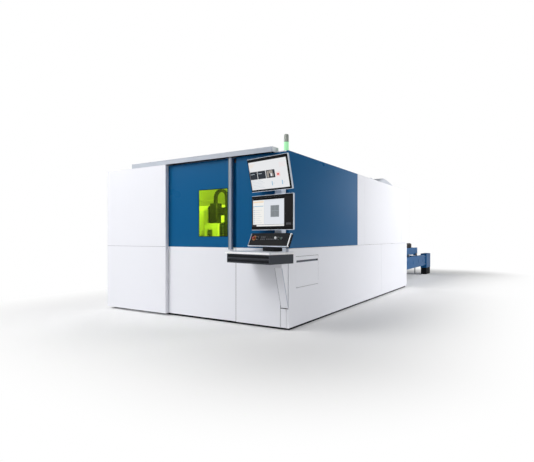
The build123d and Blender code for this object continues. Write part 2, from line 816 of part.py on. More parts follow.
def link_arch(centre, radius, thickness, width, pitch, feet):
    # Links standing in two legs and a half circle, on the core of hoses that they carry
    centre_x, y, centre_z = centre
    core = thickness - 16
    core_y = (y - width / 2 + 7, y + width / 2 - 7)
    with BuildSketch(Plane.XZ.offset(-core_y[1])) as arch:
        with Locations((centre_x, centre_z)):
            Circle(radius + core / 2)
            Circle(radius - core / 2, mode=Mode.SUBTRACT)
            with Locations((0, -radius)):
                Rectangle(4 * radius, 2 * radius, mode=Mode.SUBTRACT)
    chain = extrude(arch.sketch, amount=core_y[1] - core_y[0])
    for x, foot in ((centre_x - radius, feet[0]), (centre_x + radius, feet[1])):
        chain += block((x - core / 2, x + core / 2), core_y, (foot, centre_z + 1))
        end_x = (x - thickness / 2, x + thickness / 2)
        chain += block(end_x, (y - width / 2, y + width / 2), (foot, foot + 14))
        for index in range(round((centre_z - foot - 14) / pitch)):
            chain += Pos(x, y, foot + 16 + (index + 0.5) * pitch) * link(thickness, width, pitch)
    turn_count = round(math.pi * radius / pitch)
    for index in range(turn_count):
        angle = 180 * (index + 0.5) / turn_count
        spot = Pos(centre_x, y, centre_z) * Rot(0, angle, 0) * Pos(-radius, 0, 0)
        chain += spot * link(thickness, width, pitch)
    return chain


def head_carriage():
    # The carriage plate on its guide shoes, with the vertical guides, the end loop of the long
    # cable chain on its left and the open bracket of the head's chain on its right
    plate = block((carriage_x[0], -1640), carriage_y, carriage_z)
    plate = fillet(plate.edges().filter_by(Axis.Y), 20)
    for z in cross_rails_z:
        for start in (carriage_x[0] + 20, -1780):
            plate += block((start, start + 100), (carriage_y[1], cross_rail_front - 0.5), (z - 5, z + 33))
    guide_y = (carriage_y[0] - 12, carriage_y[0])
    for x in (head_x[0] + 18, head_x[1] - 33):
        plate += block((x, x + 15), guide_y, (carriage_z[0] + 8, carriage_z[1] - 8))
    # The loop stands in front of a short backing plate
    loop_x = carriage_x[0] + loop_radius + loop_thickness / 2
    foot = carriage_z[0] + 10
    plate += link_arch((loop_x, loop_y, loop_centre_z), loop_radius, loop_thickness, loop_width, 30,
                       (foot, foot))
    plate += block((loop_x - 34, loop_x + 34), (loop_y - 6, carriage_y[0]), (foot, foot + 150))
    # The bracket reaches forward over a window, down to the valve block beside the head
    left, right = head_x[1] + 12, carriage_x[1]
    plate += block((left, right), (bracket_front, carriage_y[0]), bracket_z)
    plate += block((right - 57, right), (bracket_front, 890), (carriage_z[0] - 10, bracket_z[0]))
    valves = block((left + 4, right), (bracket_front, 890), (1262, carriage_z[0] - 8))
    return plate + fillet(valves.edges().filter_by(Axis.Y), 8)


def energy_chain():
    # The head's own chain, arched from the head's top over to the bracket on the carriage
    centre_x = (head_x[0] + head_x[1]) / 2 - 6 + chain_radius
    return link_arch((centre_x, chain_y, chain_centre_z), chain_radius, chain_thickness, chain_width,
                     chain_link_pitch, (head_z[1], bracket_z[1]))


def cutting_head():
    # The drive housing on its slide plate, with the box that joins it to the lens barrel
    housing = block(head_x, head_y, head_z)
    housing = fillet(housing.edges().filter_by(Axis.Z).sort_by(Axis.Y)[:2], 22)
    slide_x = (head_x[0] + 6, head_x[1] - 6)
    slide_z = (head_z[0] + 20, carriage_z[1])
    housing += block(slide_x, (head_y[1], carriage_y[0] - 12.5), slide_z)
    for row in range(5):
        z = head_z[0] + 60 + row * 26
        housing -= block((head_x[0] + 40, head_x[1] - 40), (head_y[0] - 1, head_y[0] + 4), (z, z + 10))
    joint_box = block((carriage_x[0] + 6, head_x[1] + 6), (head_y[0] + 5, head_y[1]), lens_box_z)
    joint_box = chamfer(joint_box.edges().filter_by(Axis.Z), 14)
    neck = block((head_x[0] + 20, head_x[1] - 20), (head_y[0] + 20, head_y[1] - 20),
                 (lens_box_z[1], head_z[0]))
    return housing + joint_box + neck


def lens_barrel():
    # The round lens tube, its taper, a service ring and the holder of the nozzle
    x, y = lens_axis
    barrel = upright(58, x, y, (1232, lens_box_z[0]))
    barrel += Pos(x, y, 1186) * Cone(34, 58, 92)
    barrel += upright(34, x, y, (1070, 1140))
    barrel += upright(44, x, y, (1096, 1116))
    barrel += Pos(x, y, 1040) * Cone(24, 34, 60)
    barrel += upright(24, x, y, (995, 1010))
    return barrel


def cutting_nozzle():
    x, y = lens_axis
    skirt = upright(20, x, y, (975, 995))
    cone = Pos(x, y, (nozzle_tip + 975) / 2) * Cone(6, 18, 975 - nozzle_tip)
    bore = upright(2, x, y, (nozzle_tip - 1, 996))
    return skirt + cone - bore


# Pallets and their changer


def pallet_frame(start, level):
    # Side beams on rail wheels, cross members between them and comb bars under the slats
    end = start + pallet_length
    beam_z = shifted(side_beam_z, level)
    beam = block(side_beam_x, (start, end), beam_z)
    beam = chamfer(beam.edges().filter_by(Axis.Y), 5)
    wheels = []
    for y in (start + 260, start + 1200, end - 1200, end - 260):
        hanger_x = (side_beam_x[0] + 20, side_beam_x[1])
        beam += block(hanger_x, (y - 45, y + 45), (beam_z[0] - 35, beam_z[0] + 10))
        centre = Pos((wheel_x[0] + wheel_x[1]) / 2, y, wheel_centre_z + level) * Rot(0, 90, 0)
        wheel = Cylinder(wheel_radius, wheel_x[1] - wheel_x[0])
        hub = Pos((side_beam_x[1] + wheel_x[0]) / 2, y, wheel_centre_z + level) * Rot(0, 90, 0)
        wheels.append(centre * wheel + hub * Cylinder(14, wheel_x[0] - side_beam_x[1]))
    side = [beam, *wheels]
    parts = side + [mirror_across(piece) for piece in side]
    inner = (mirrored(side_beam_x)[1], side_beam_x[0])
    for y in (start, start + 1080, start + 2140, end - 80):
        parts.append(block(inner, (y, y + 80), shifted(member_z, level)))
    for x in (inner[0] + 60, sheet_centre, inner[1] - 60):
        parts.append(block((x - 8, x + 8), (start + 1, end - 1), shifted(comb_z, level)))
    return group(*parts)


def pallet_slats(start, level):
    # Upright support slats across the pallet, each with a row of pointed teeth for the sheet
    foot, top = comb_z[1] + level, slat_top + level
    inner = mirrored(side_beam_x)[1] + 6, side_beam_x[0] - 6
    tooth = (inner[1] - inner[0]) / tooth_count
    outline = [(inner[0], foot)]
    for index in range(tooth_count):
        left = inner[0] + index * tooth
        outline += [(left, top - tooth_height), (left + tooth / 2, top)]
    outline += [(inner[1], top - tooth_height), (inner[1], foot)]
    with BuildSketch(Plane.XZ) as profile:
        Polygon(*outline, align=None)
    slat = extrude(profile.sketch, amount=slat_thickness)
    count = 28
    return group(*[Pos(0, start + 180 + index * slat_pitch, 0) * slat for index in range(count)])


def inner_pallet_frame():
    return pallet_frame(inner_pallet_start, 0)


def inner_pallet_slats():
    return pallet_slats(inner_pallet_start, 0)


def outer_pallet_frame():
    return pallet_frame(outer_pallet_start, level_step)


def outer_pallet_slats():
    return pallet_slats(outer_pallet_start, level_step)


def changer_base_beams():
    beam = block(base_beam_x, (body_length, end_post_y[0]), base_beam_z)
    beam = fillet(beam.edges().filter_by(Axis.Y), 8)
    tie = block((mirrored(end_post_x)[1], end_post_x[0]), (10240, 10340), (380, 600))
    return group(beam, mirror_across(beam), tie)


def changer_end_posts():
    post = block(end_post_x, end_post_y, end_post_z)
    post = fillet(post.edges().filter_by(Axis.Z), 10)
    return group(post, mirror_across(post))


def changer_feet():
    end_x = (end_post_x[0] + 8, end_post_x[1] - 8)
    end = block(end_x, (end_post_y[0] + 12, end_post_y[1] - 12), (0, end_post_z[0]))
    near = block(base_beam_x, (6090, 6200), (0, base_beam_z[0]))
    return group(end, near, mirror_across(end), mirror_across(near))


def lift_guides():
    # Four guide rods that stand up from two floor bars
    bars = []
    for y in guide_rod_y:
        bar = block((mirrored(rail_x)[0], rail_x[1]), (y - 60, y + 60), (0, 20))
        for x in (guide_rod_x, 2 * sheet_centre - guide_rod_x):
            bar += upright(guide_rod_radius, x, y, (20, guide_rod_top))
        bars.append(bar)
    return group(*bars)


def lift_frame():
    # A double rail on each side, a level for each pallet, joined by cross tubes with guide bushes
    web = block((rail_x[1], rail_x[1] + 8), lift_y, (rail_z[0], rail_z[1] + level_step))
    rails = [block(rail_x, lift_y, z) for z in (rail_z, shifted(rail_z, level_step))]
    parts = [web, *rails] + [mirror_across(piece) for piece in (web, *rails)]
    for y in guide_rod_y:
        tube = block((mirrored(rail_x)[0], rail_x[1]), (y - 30, y + 30), (rail_z[0] - 50, rail_z[0]))
        for x in (guide_rod_x, 2 * sheet_centre - guide_rod_x):
            tube += upright(45, x, y, (rail_z[0] - 60, rail_z[0] + 10))
            tube -= upright(guide_rod_radius + 0.05, x, y, (0, 500))
        parts.append(tube)
    return group(*parts)


makers = (
    base_plinth, enclosure_frame, front_left_cover, front_right_upper_panel, front_right_lower_panels,
    right_wall_blue_panel, right_wall_white_panels, left_wall_panels, rear_wall, roof_panels,
    extraction_hood, door_rail_cover, door_track, signal_tower, signal_lamp, machine_cabinets,
    chamber_partition, chamber_light, door_interlock, machine_bed, gantry_rails, pallet_rails,
    slag_conveyor, door_lower_skin, door_upper_skin, door_window, door_handle, door_hangers,
    service_flap, console_leg, console_post, console_shelf, console_worktop, keyboard_drawer,
    document_drawer, keypad_panel, emergency_stop, feed_knob, mode_knob, start_button, lower_monitor,
    lower_screen, upper_monitor, upper_screen, gantry_trucks, gantry_bridge, head_carriage,
    energy_chain, cutting_head, lens_barrel, cutting_nozzle, inner_pallet_frame, inner_pallet_slats,
    outer_pallet_frame, outer_pallet_slats, changer_base_beams, changer_end_posts, changer_feet,
    lift_guides, lift_frame,
)

nodes = {maker.__name__: maker() for maker in makers}

# The finished model stands with the middle of its footprint on the origin
bounds = Compound(children=[Compound(children=list(part.solids())) for part in nodes.values()]).bounding_box()
origin_shift = (-(bounds.min.X + bounds.max.X) / 2, -(bounds.min.Y + bounds.max.Y) / 2, -bounds.min.Z)

os.makedirs("parts", exist_ok=True)
for name, part in nodes.items():
    export_step(Pos(*origin_shift) * Compound(children=list(part.solids())), f"parts/{name}.step")
print("nodes", len(nodes), "size", [round(value, 1) for value in bounds.size], "shift", origin_shift)
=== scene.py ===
import math

import bmesh
import bpy
from mathutils import Matrix, Vector


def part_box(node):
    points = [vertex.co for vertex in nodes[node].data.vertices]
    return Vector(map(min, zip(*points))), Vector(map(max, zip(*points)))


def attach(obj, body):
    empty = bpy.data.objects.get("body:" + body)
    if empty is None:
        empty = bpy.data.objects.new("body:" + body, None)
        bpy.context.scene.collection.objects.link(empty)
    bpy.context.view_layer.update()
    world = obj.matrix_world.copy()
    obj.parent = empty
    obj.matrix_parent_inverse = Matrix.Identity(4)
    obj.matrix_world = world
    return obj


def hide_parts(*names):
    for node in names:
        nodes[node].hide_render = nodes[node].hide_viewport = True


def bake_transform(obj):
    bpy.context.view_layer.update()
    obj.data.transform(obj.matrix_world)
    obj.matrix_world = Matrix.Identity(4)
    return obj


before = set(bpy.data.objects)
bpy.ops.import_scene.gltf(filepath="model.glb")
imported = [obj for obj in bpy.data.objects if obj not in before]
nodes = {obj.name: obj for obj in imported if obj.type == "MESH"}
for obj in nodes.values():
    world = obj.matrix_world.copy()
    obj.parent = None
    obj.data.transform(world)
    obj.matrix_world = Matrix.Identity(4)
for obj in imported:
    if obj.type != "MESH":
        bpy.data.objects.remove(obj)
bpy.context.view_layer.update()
print("frame loaded:", len(nodes), "nodes")

# The drawing datum: x 0 on the right wall's face, y 0 on the front, in millimetres
datum = Vector((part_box("right_wall_blue_panel")[1].x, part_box("right_wall_blue_panel")[0].y, 0))
drawing = Matrix.Translation(datum) @ Matrix.Scale(0.001, 4)


def at(x, y, z):
    return drawing @ Vector((x, y, z))


def linear(hexColour):
    # sRGB hex to the linear values that the shader mixes
    channels = [int(hexColour[i:i + 2], 16) / 255 for i in (1, 3, 5)]
    return [c / 12.92 if c <= 0.04045 else ((c + 0.055) / 1.055) ** 2.4 for c in channels] + [1.0]


def addNode(tree, kind, settings=None, links=None):
    # One node with its settings by attribute or socket, and the sockets that feed it
    node = tree.nodes.new(kind)
    for name, value in (settings or {}).items():
        if isinstance(name, int) or name in node.inputs:
            node.inputs[name].default_value = value
        else:
            setattr(node, name, value)
    for name, source in (links or {}).items():
        tree.links.new(source, node.inputs[name])
    return node


def newMaterial(name):
    material = bpy.data.materials.new(name)
    material.use_nodes = True
    tree = material.node_tree
    tree.nodes.clear()
    return material, tree


def surface(name, colour, roughness, metallic=0.0, tintMm=900, tint=0.03, bumpMm=9, bump=0.04,
            stretch=(1, 1, 1), smudge=0.06, specular=0.5, glow=None, glowStrength=0.0,
            transmission=0.0, second=None):
    # A painted, moulded or metal surface: a slow drift of tint and gloss, and a fine relief.
    # A second colour, such as rust or dust, lies in patches where the drift is strongest
    material, tree = newMaterial(name)
    place = addNode(tree, "ShaderNodeTexCoord").outputs["Object"]
    drift = addNode(tree, "ShaderNodeTexNoise", {"Scale": 1000 / tintMm, "Detail": 3.0}, {"Vector": place})
    dark = [c * (1 - tint) for c in linear(colour)[:3]] + [1]
    light = [min(1, c * (1 + tint)) for c in linear(colour)[:3]] + [1]
    base = addNode(tree, "ShaderNodeMix", {"data_type": "RGBA", 6: dark, 7: light},
                   {0: drift.outputs["Fac"]}).outputs[2]
    if second:
        patches = addNode(tree, "ShaderNodeMapRange", {"From Min": 0.5, "From Max": 0.68},
                          {"Value": drift.outputs["Fac"]})
        base = addNode(tree, "ShaderNodeMix", {"data_type": "RGBA", 7: linear(second)},
                       {0: patches.outputs["Result"], 6: base}).outputs[2]
    gloss = addNode(tree, "ShaderNodeMapRange", {"To Min": roughness - smudge, "To Max": roughness + smudge},
                    {"Value": drift.outputs["Fac"]})
    grainPlace = addNode(tree, "ShaderNodeMapping", {"Scale": stretch}, {"Vector": place})
    grain = addNode(tree, "ShaderNodeTexNoise", {"Scale": 1000 / bumpMm, "Detail": 2.0},
                    {"Vector": grainPlace.outputs["Vector"]})
    relief = addNode(tree, "ShaderNodeBump", {"Strength": bump, "Distance": 0.001},
                     {"Height": grain.outputs["Fac"]})
    settings = {"Metallic": metallic, "Specular IOR Level": specular, "Transmission Weight": transmission}
    if glow:
        settings.update({"Emission Color": linear(glow), "Emission Strength": glowStrength})
    shader = addNode(tree, "ShaderNodeBsdfPrincipled", settings,
                     {"Base Color": base, "Roughness": gloss.outputs["Result"],
                      "Normal": relief.outputs["Normal"]})
    addNode(tree, "ShaderNodeOutputMaterial", links={"Surface": shader.outputs["BSDF"]})
    return material


# Polyester powder coat on sheet steel, sprayed and baked: an even satin skin with a faint orange peel
powder = dict(roughness=0.5, tint=0.012, bumpMm=7, bump=0.05, specular=0.3)
powderWhite = surface("powderCoatWhite", "#EDEEF4", **powder)
powderTrim = surface("powderCoatTrimGrey", "#BFC3D0", **powder)
powderConsole = surface("powderCoatConsoleGrey", "#DCE4F0", **powder)
powderRail = surface("powderCoatRailGrey", "#BCC2CC", **powder)
powderHood = surface("powderCoatHoodGrey", "#C3C8D1", **powder)
# The blue is a deep solid shade with little sheen, so that it stays saturated at a glancing view
powderBlue = surface("powderCoatBlue", "#0B5A8C", roughness=0.3, tint=0.02, bumpMm=7, bump=0.05,
                     specular=0.14)
# Fine-texture powder coat: a broken sheen that hides finger marks
# The black is the shaded copy of the graphite below: painted shade on the drawer fronts and the keypad panel
textureBlackShadedCopy = surface("texturePowderBlackShaded", "#17191D", roughness=0.6, tint=0.05, bumpMm=3, bump=0.12,
                      specular=0.15)
# The graphite is the lit copy: the shelf painted lighter as its lit side, and the drawers' highlight lips
textureGraphiteLitCopy = surface("texturePowderGraphiteLit", "#43474E", roughness=0.6, tint=0.04, bumpMm=3, bump=0.12,
                       specular=0.3)
textureGrey = surface("texturePowderGrey", "#A9ABAD", roughness=0.6, tint=0.03, bumpMm=4, bump=0.1)
plinthBlack = surface("plinthEnamelBlack", "#121418", roughness=0.7, tint=0.05, specular=0.2)
# Brushed or rolled enamel on welded steel: heavier film, slightly uneven, dusty where sparks fall
frameEnamel = surface("frameEnamelGrey", "#8A8E95", roughness=0.5, tint=0.05, bumpMm=14, bump=0.08)
chamberEnamel = surface("chamberEnamelWhite", "#C9CDCE", roughness=0.55, tint=0.05, bumpMm=14, bump=0.08)
bedEnamel = surface("bedEnamelGrey", "#5E636B", roughness=0.5, tint=0.06, bumpMm=14, bump=0.1,
                    tintMm=400, second="#4B4844")
bridgeEnamel = surface("bridgeEnamelWhite", "#F1F2F0", roughness=0.4, tint=0.03, bumpMm=12, bump=0.05)
changerEnamel = surface("changerEnamelBlue", "#14578C", roughness=0.42, tint=0.05, bumpMm=12, bump=0.07,
                        specular=0.15)
# Ground guide steel: a mirror broken along the travel by the grinding lines
groundSteel = surface("groundGuideSteel", "#B9BCC0", roughness=0.28, metallic=1.0, bumpMm=3, bump=0.05,
                      stretch=(1, 0.04, 1))
# Zinc-plated fasteners and brackets: soft grey gloss with a cloudy bloom
zincSteel = surface("zincPlatedSteel", "#A7ABAE", roughness=0.38, metallic=0.9, tintMm=60, tint=0.08,
                    bumpMm=2, bump=0.05)
# Hot-rolled slat steel under slag: dull scale, spattered, with rust-brown burn patches
slagSteel = surface("slagMarkedSteel", "#7B7875", roughness=0.62, metallic=0.25, tintMm=90, tint=0.3,
                    bumpMm=12, bump=0.5, smudge=0.12, second="#5A4030")
beltSteel = surface("rolledBeltSteel", "#5B5A58", roughness=0.5, metallic=0.8, tintMm=160, tint=0.2,
                    bump=0.2, second="#4E4338")
# Anodised aluminium and anthracite powder coat on the head: a hard satin metal beside a dull dark skin
anodised = surface("anodisedAluminium", "#8F9298", roughness=0.3, metallic=0.9, bumpMm=2, bump=0.04)
headCoat = surface("powderCoatAnthracite", "#141618", roughness=0.5, tint=0.04, specular=0.25)
# Moulded ABS shroud: an even light grey with a soft sheen
shroudAbs = surface("mouldedAbsWhite", "#C4C9C6", roughness=0.4, tint=0.02)
# Turned copper: warm metal that keeps fine lathe rings
turnedCopper = surface("turnedCopper", "#C98B62", roughness=0.25, metallic=1.0, bumpMm=1, bump=0.05)
chainPolyamide = surface("mouldedPolyamideBlack", "#101113", roughness=0.5, tint=0.05, bumpMm=2, bump=0.05,
                         specular=0.3)
# Extruded polyurethane hose: smooth, slightly waxy
hoseBlack = surface("extrudedHoseBlack", "#17181B", roughness=0.4, tint=0.03)
hoseBlue = surface("extrudedHoseBlue", "#1B4E86", roughness=0.4, tint=0.03)
# Moulded ABS for bezels: near black, a soft sheen from the spark-eroded tool
bezelAbs = surface("mouldedAbsBlack", "#08090A", roughness=0.35, tint=0.03, bumpMm=2, bump=0.03, specular=0.12)
# Printed foil and key caps, and the worktop's laminate with its edge band
keyFoil = surface("polyesterKeyFoil", "#171516", roughness=0.45, tint=0.03, specular=0.12)
keyCapGrey = surface("mouldedAbsKeyGrey", "#4A4B4F", roughness=0.4, specular=0.3)
worktopLaminate = surface("laminateWhite", "#E6EAF1", roughness=0.35, tint=0.01, bumpMm=5, bump=0.02)
edgeBand = surface("absEdgeBandWhite", "#FBFBFD", roughness=0.4, tint=0.01)
# Moulded control parts: clear colours with a soft sheen
stopRed = surface("mouldedPolycarbonateRed", "#8E2415", roughness=0.3)
stopYellow = surface("mouldedPolycarbonateYellow", "#A5641B", roughness=0.4)
knobBlack = surface("mouldedNylonBlack", "#0F1011", roughness=0.45, specular=0.3)
knobWhite = surface("mouldedNylonWhite", "#F2F3F5", roughness=0.4)
keyGreen = surface("mouldedKeyGreen", "#22503A", roughness=0.35)
# Moulded and extruded rubber, and gasket foam: matt, with next to no sheen
handleGrip = surface("mouldedRubberGrey", "#7F8A92", roughness=0.7, tint=0.02, specular=0.15)
# The black rubber also stands as painted shade and shadow in gaps, sockets, slots, louvres and the duct
blackRubberAndPaintedShade = surface("extrudedRubberBlackAndPaintedShade", "#0B0C0E", roughness=0.8, tint=0.04, specular=0.1)
# The grey foam is also painted shade in the cover's seam groove and in the finger pull
greyFoamAndPaintedShade = surface("foamGasketGreyAndPaintedShade", "#6C7078", roughness=0.9, tint=0.03, specular=0.1)
# Moulded PBT of the interlock, and the lamp's frosted cap
interlockRed = surface("mouldedPbtDarkRed", "#2E1216", roughness=0.5)
lampCap = surface("frostedPolycarbonateGrey", "#B4BBB2", roughness=0.4)
# Frosted polycarbonate and opal acrylic over lit diodes: the whole cover glows
lampGreen = surface("frostedPolycarbonateGreen", "#7FCF8E", roughness=0.4, glow="#B8F5C2", glowStrength=0.55)
opalDiffuser = surface("opalAcrylicLit", "#FFFFFF", roughness=0.5, glow="#FFFFFF", glowStrength=4.0)
# Cover glass over the panels: black, with a sharp sheen
screenGlass = surface("coverGlassBlack", "#08090B", roughness=0.15, tint=0.0, bump=0.0, smudge=0.02,
                      specular=0.3)
# Uncoated paper: matt, slightly warm
paperWhite = surface("uncoatedPaper", "#F4F2EC", roughness=0.9, tint=0.02, tintMm=60, specular=0.1)
# Dyed acrylic laser filter: clear, strongly yellow-green, glossy on both faces
filterAcrylic = surface("dyedAcrylicFilter", "#C0EC26", roughness=0.03, tint=0.0, bump=0.0, smudge=0.01,
                        transmission=1.0, specular=0.3)
print("materials made")

finish = {
    powderWhite: ("front_left_cover", "front_right_lower_panels", "right_wall_white_panels", "left_wall_panels",
                  "rear_wall", "roof_panels", "door_lower_skin", "service_flap", "console_leg"),
    powderHood: ("extraction_hood",),
    powderBlue: ("front_right_upper_panel", "right_wall_blue_panel", "door_upper_skin"),
    powderTrim: ("door_handle",),
    powderRail: ("door_rail_cover",),
    powderConsole: ("console_post", "lower_monitor", "upper_monitor"),
    textureBlackShadedCopy: ("keyboard_drawer", "document_drawer", "keypad_panel"),
    textureGraphiteLitCopy: ("console_shelf",),
    textureGrey: ("machine_cabinets",),
    plinthBlack: ("base_plinth", "changer_feet"),
    frameEnamel: ("enclosure_frame",),
    chamberEnamel: ("chamber_partition",),
    bedEnamel: ("machine_bed", "gantry_trucks"),
    bridgeEnamel: ("gantry_bridge",),
    changerEnamel: ("changer_base_beams", "changer_end_posts", "lift_frame", "inner_pallet_frame",
                    "outer_pallet_frame"),
    groundSteel: ("door_track", "door_hangers", "gantry_rails", "pallet_rails", "lift_guides"),
    slagSteel: ("inner_pallet_slats", "outer_pallet_slats"),
    beltSteel: ("slag_conveyor",),
    headCoat: ("head_carriage", "cutting_head"),
    anodised: ("lens_barrel",),
    turnedCopper: ("cutting_nozzle",),
    chainPolyamide: ("energy_chain",),
    screenGlass: ("lower_screen", "upper_screen"),
    worktopLaminate: ("console_worktop",),
    stopRed: ("emergency_stop",),
    knobBlack: ("feed_knob",),
    knobWhite: ("mode_knob",),
    keyGreen: ("start_button",),
    interlockRed: ("door_interlock",),
    lampCap: ("signal_tower",),
    lampGreen: ("signal_lamp",),
    opalDiffuser: ("chamber_light",),
    filterAcrylic: ("door_window",),
}
for material, names in finish.items():
    for name in names:
        mesh = nodes[name].data
        mesh.materials.clear()
        mesh.materials.append(material)
print("nodes given a material:", sum(len(names) for names in finish.values()), "of", len(nodes))


def addBox(form, shape, matrix):
    made = bmesh.ops.create_cube(form, size=1)["verts"]
    spans = [shape["x"], shape["y"], shape["z"]]
    size = [high - low for low, high in spans]
    middle = [(high + low) / 2 for low, high in spans]
    bmesh.ops.transform(form, verts=made, matrix=Matrix.Translation(middle) @ Matrix.Diagonal((*size, 1)))
    if shape.get("bevel"):
        # Each edge once, although two corners share it
        edges = list(dict.fromkeys(edge for vert in made for edge in vert.link_edges))
        made = bmesh.ops.bevel(form, geom=edges, offset=shape["bevel"], segments=2, affect="EDGES",
                               profile=0.5)["verts"]
    if shape.get("lean"):
        axis, angle = shape["lean"]
        turn = Matrix.Translation(middle) @ Matrix.Rotation(math.radians(angle), 4, axis)
        bmesh.ops.transform(form, verts=made, matrix=turn @ Matrix.Translation(middle).inverted())
    bmesh.ops.transform(form, verts=made, matrix=matrix)


def addRod(form, shape, matrix):
    start, end = Vector(shape["start"]), Vector(shape["end"])
    along = end - start
    radius = shape["radius"]
    made = bmesh.ops.create_cone(form, cap_ends=True, segments=shape.get("sides", 24), radius1=radius,
                                 radius2=shape.get("endRadius", radius), depth=along.length)["verts"]
    turn = along.to_track_quat("Z", "Y").to_matrix().to_4x4()
    bmesh.ops.transform(form, verts=made, matrix=matrix @ Matrix.Translation((start + end) / 2) @ turn)


def makePiece(name, body, materials, shapes, place=None):
    # One object from boxes and rods in millimetres; place leans or turns the whole piece
    form = bmesh.new()
    matrix = place or Matrix.Identity(4)
    for shape in shapes:
        before = set(form.faces)
        (addRod if "radius" in shape else addBox)(form, shape, shape.get("place", Matrix.Identity(4)))
        fresh = set(form.faces) - before
        for face in fresh:
            face.material_index = shape.get("slot", 0)
            face.smooth = "radius" in shape and len(face.verts) == 4
    bmesh.ops.transform(form, verts=form.verts, matrix=drawing @ matrix)
    bmesh.ops.recalc_face_normals(form, faces=form.faces)
    mesh = bpy.data.meshes.new(name)
    form.to_mesh(mesh)
    form.free()
    for material in materials:
        mesh.materials.append(material)
    piece = bpy.data.objects.new(name, mesh)
    bpy.context.scene.collection.objects.link(piece)
    if body:
        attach(piece, body)
    return piece


def frameAround(x, z, y, width):
    # Four bars that make a frame inside the given opening
    return [
        {"x": (x[0], x[0] + width), "y": y, "z": z},
        {"x": (x[1] - width, x[1]), "y": y, "z": z},
        {"x": (x[0] + width, x[1] - width), "y": y, "z": (z[0], z[0] + width)},
        {"x": (x[0] + width, x[1] - width), "y": y, "z": (z[1] - width, z[1])},
    ]


def screwHeads(spots, axis, radius=6, height=4):
    # Socket screws: a low round head, and a hexagon in the second material: in black, painted shade in the
    # socket
    shapes = []
    for spot in spots:
        start, way = Vector(spot), Vector(axis)
        shapes.append({"start": start, "end": start + way * height, "radius": radius, "sides": 12})
        shapes.append({"start": start + way * (height - 0.2), "end": start + way * (height + 0.2),
                       "radius": radius * 0.5, "sides": 6, "slot": 1})
    return shapes


# Door: the rubber round the filter pane
windowSeal = {"x": (-1573, -1015), "z": (1252, 1962), "y": (8.6, 11), "width": 9}
makePiece("windowSeal", "front_door", [blackRubberAndPaintedShade], frameAround(**windowSeal))

# Handle: a grey grip inlay on its left half, and two blue closing strips on its right face
handle = {"x": (-981, -922), "z": (1066, 2388), "front": -40, "inlay": (9, 32),
          "profiles": ((-30, -15), (-3.4, 1.6))}
left, right = handle["x"]
foot, top = handle["z"]
shapes = [{"x": (left + handle["inlay"][0], left + handle["inlay"][1]),
           "y": (handle["front"] - 0.8, handle["front"] + 0.5), "z": (foot + 8, top - 8), "bevel": 0.4}]
shapes += [{"x": (right - 0.5, right + 2.4), "y": y, "z": (foot + 6, top - 6), "slot": 1}
           for y in handle["profiles"]]
makePiece("handleInlay", "front_door", [handleGrip, powderBlue], shapes)

# Fixed front: black strips in the panel gaps, painted shade there, and one under the rail cover, painted shadow
frontGapShades = {"jointX": (-868, -127.5), "jointZ": (40, 1094), "gasket": 4.5, "railShadowX": (-2194, -218),
              "railShadowZ": (2391, 2393.6), "coverX": (-3610, -2196), "seamZ": (1094.2, 1097.8)}
shapes = [{"x": (x - 0.3, x + frontGapShades["gasket"] - 0.3), "y": (0.2, 14), "z": frontGapShades["jointZ"]}
          for x in frontGapShades["jointX"]]
shapes.append({"x": frontGapShades["railShadowX"], "y": (-62, 3), "z": frontGapShades["railShadowZ"]})
makePiece("frontGapShadeStrips", "machine", [blackRubberAndPaintedShade], shapes)
# The cover's seam: a grey strip in its groove, painted shade
makePiece("coverSeamPaintedShade", "machine", [greyFoamAndPaintedShade], [
    {"x": frontGapShades["coverX"], "y": (-65.2, -64.4), "z": frontGapShades["seamZ"]},
])

# Rail cover: a pressed end cap at the corner of the housing
railEnd = {"x": -215, "y": (-64, 93), "z": (2396, 2464)}
makePiece("railCoverEndCap", "machine", [powderWhite], [
    {"x": (railEnd["x"] - 1, railEnd["x"] + 3), "y": railEnd["y"], "z": railEnd["z"], "bevel": 1.2},
])

# Service flap: black lines on three sides, clear of the hinge, and the pull's dark back: painted shade
flapGapShade = {"y": (198.5, 906.5), "z": (552, 983.5), "width": 3.6, "clear": 60, "depth": 6}
lowY, highY = flapGapShade["y"]
lowZ, highZ = flapGapShade["z"]
wide, deep = flapGapShade["width"], flapGapShade["depth"]
makePiece("flapGapShade", "machine", [blackRubberAndPaintedShade], [
    {"x": (-deep, -1), "y": (lowY, lowY + wide), "z": (lowZ + flapGapShade["clear"], highZ)},
    {"x": (-deep, -1), "y": (highY - wide, highY), "z": (lowZ + flapGapShade["clear"], highZ)},
    {"x": (-deep, 0.5), "y": (lowY, highY), "z": (highZ - wide, highZ)},
])
flapPull = {"y": (217, 888), "z": (900, 926), "depth": 11}
lowY, highY = flapPull["y"]
lowZ, highZ = flapPull["z"]
deep = flapPull["depth"]
# The pull's back, top edge and far end are painted dark: the shade in its recess
makePiece("flapPullShadeLiner", "flap", [blackRubberAndPaintedShade, powderTrim, greyFoamAndPaintedShade], [
    {"x": (-deep - 0.9, -deep), "y": (lowY + 0.5, highY - 0.5), "z": (lowZ - 0.5, highZ + 0.5), "slot": 2},
    {"x": (-deep, 0.3), "y": (highY - 16, highY - 1), "z": (lowZ, highZ)},
    {"x": (-deep, 0.4), "y": (lowY, highY), "z": (highZ - 1, highZ + 1.5), "slot": 2},
    {"x": (-3, 0.6), "y": (lowY, highY), "z": (lowZ - 3.5, lowZ - 0.7), "slot": 1},
])

# Console leg: a darker folded cheek on its outer side, painted shade on that face, a seam on its inner one
leg = {"x": (-118, -10), "foot": 301, "top": 845, "reach": 168}
leanAngle = math.degrees(math.atan2(leg["reach"], leg["top"] - leg["foot"]))
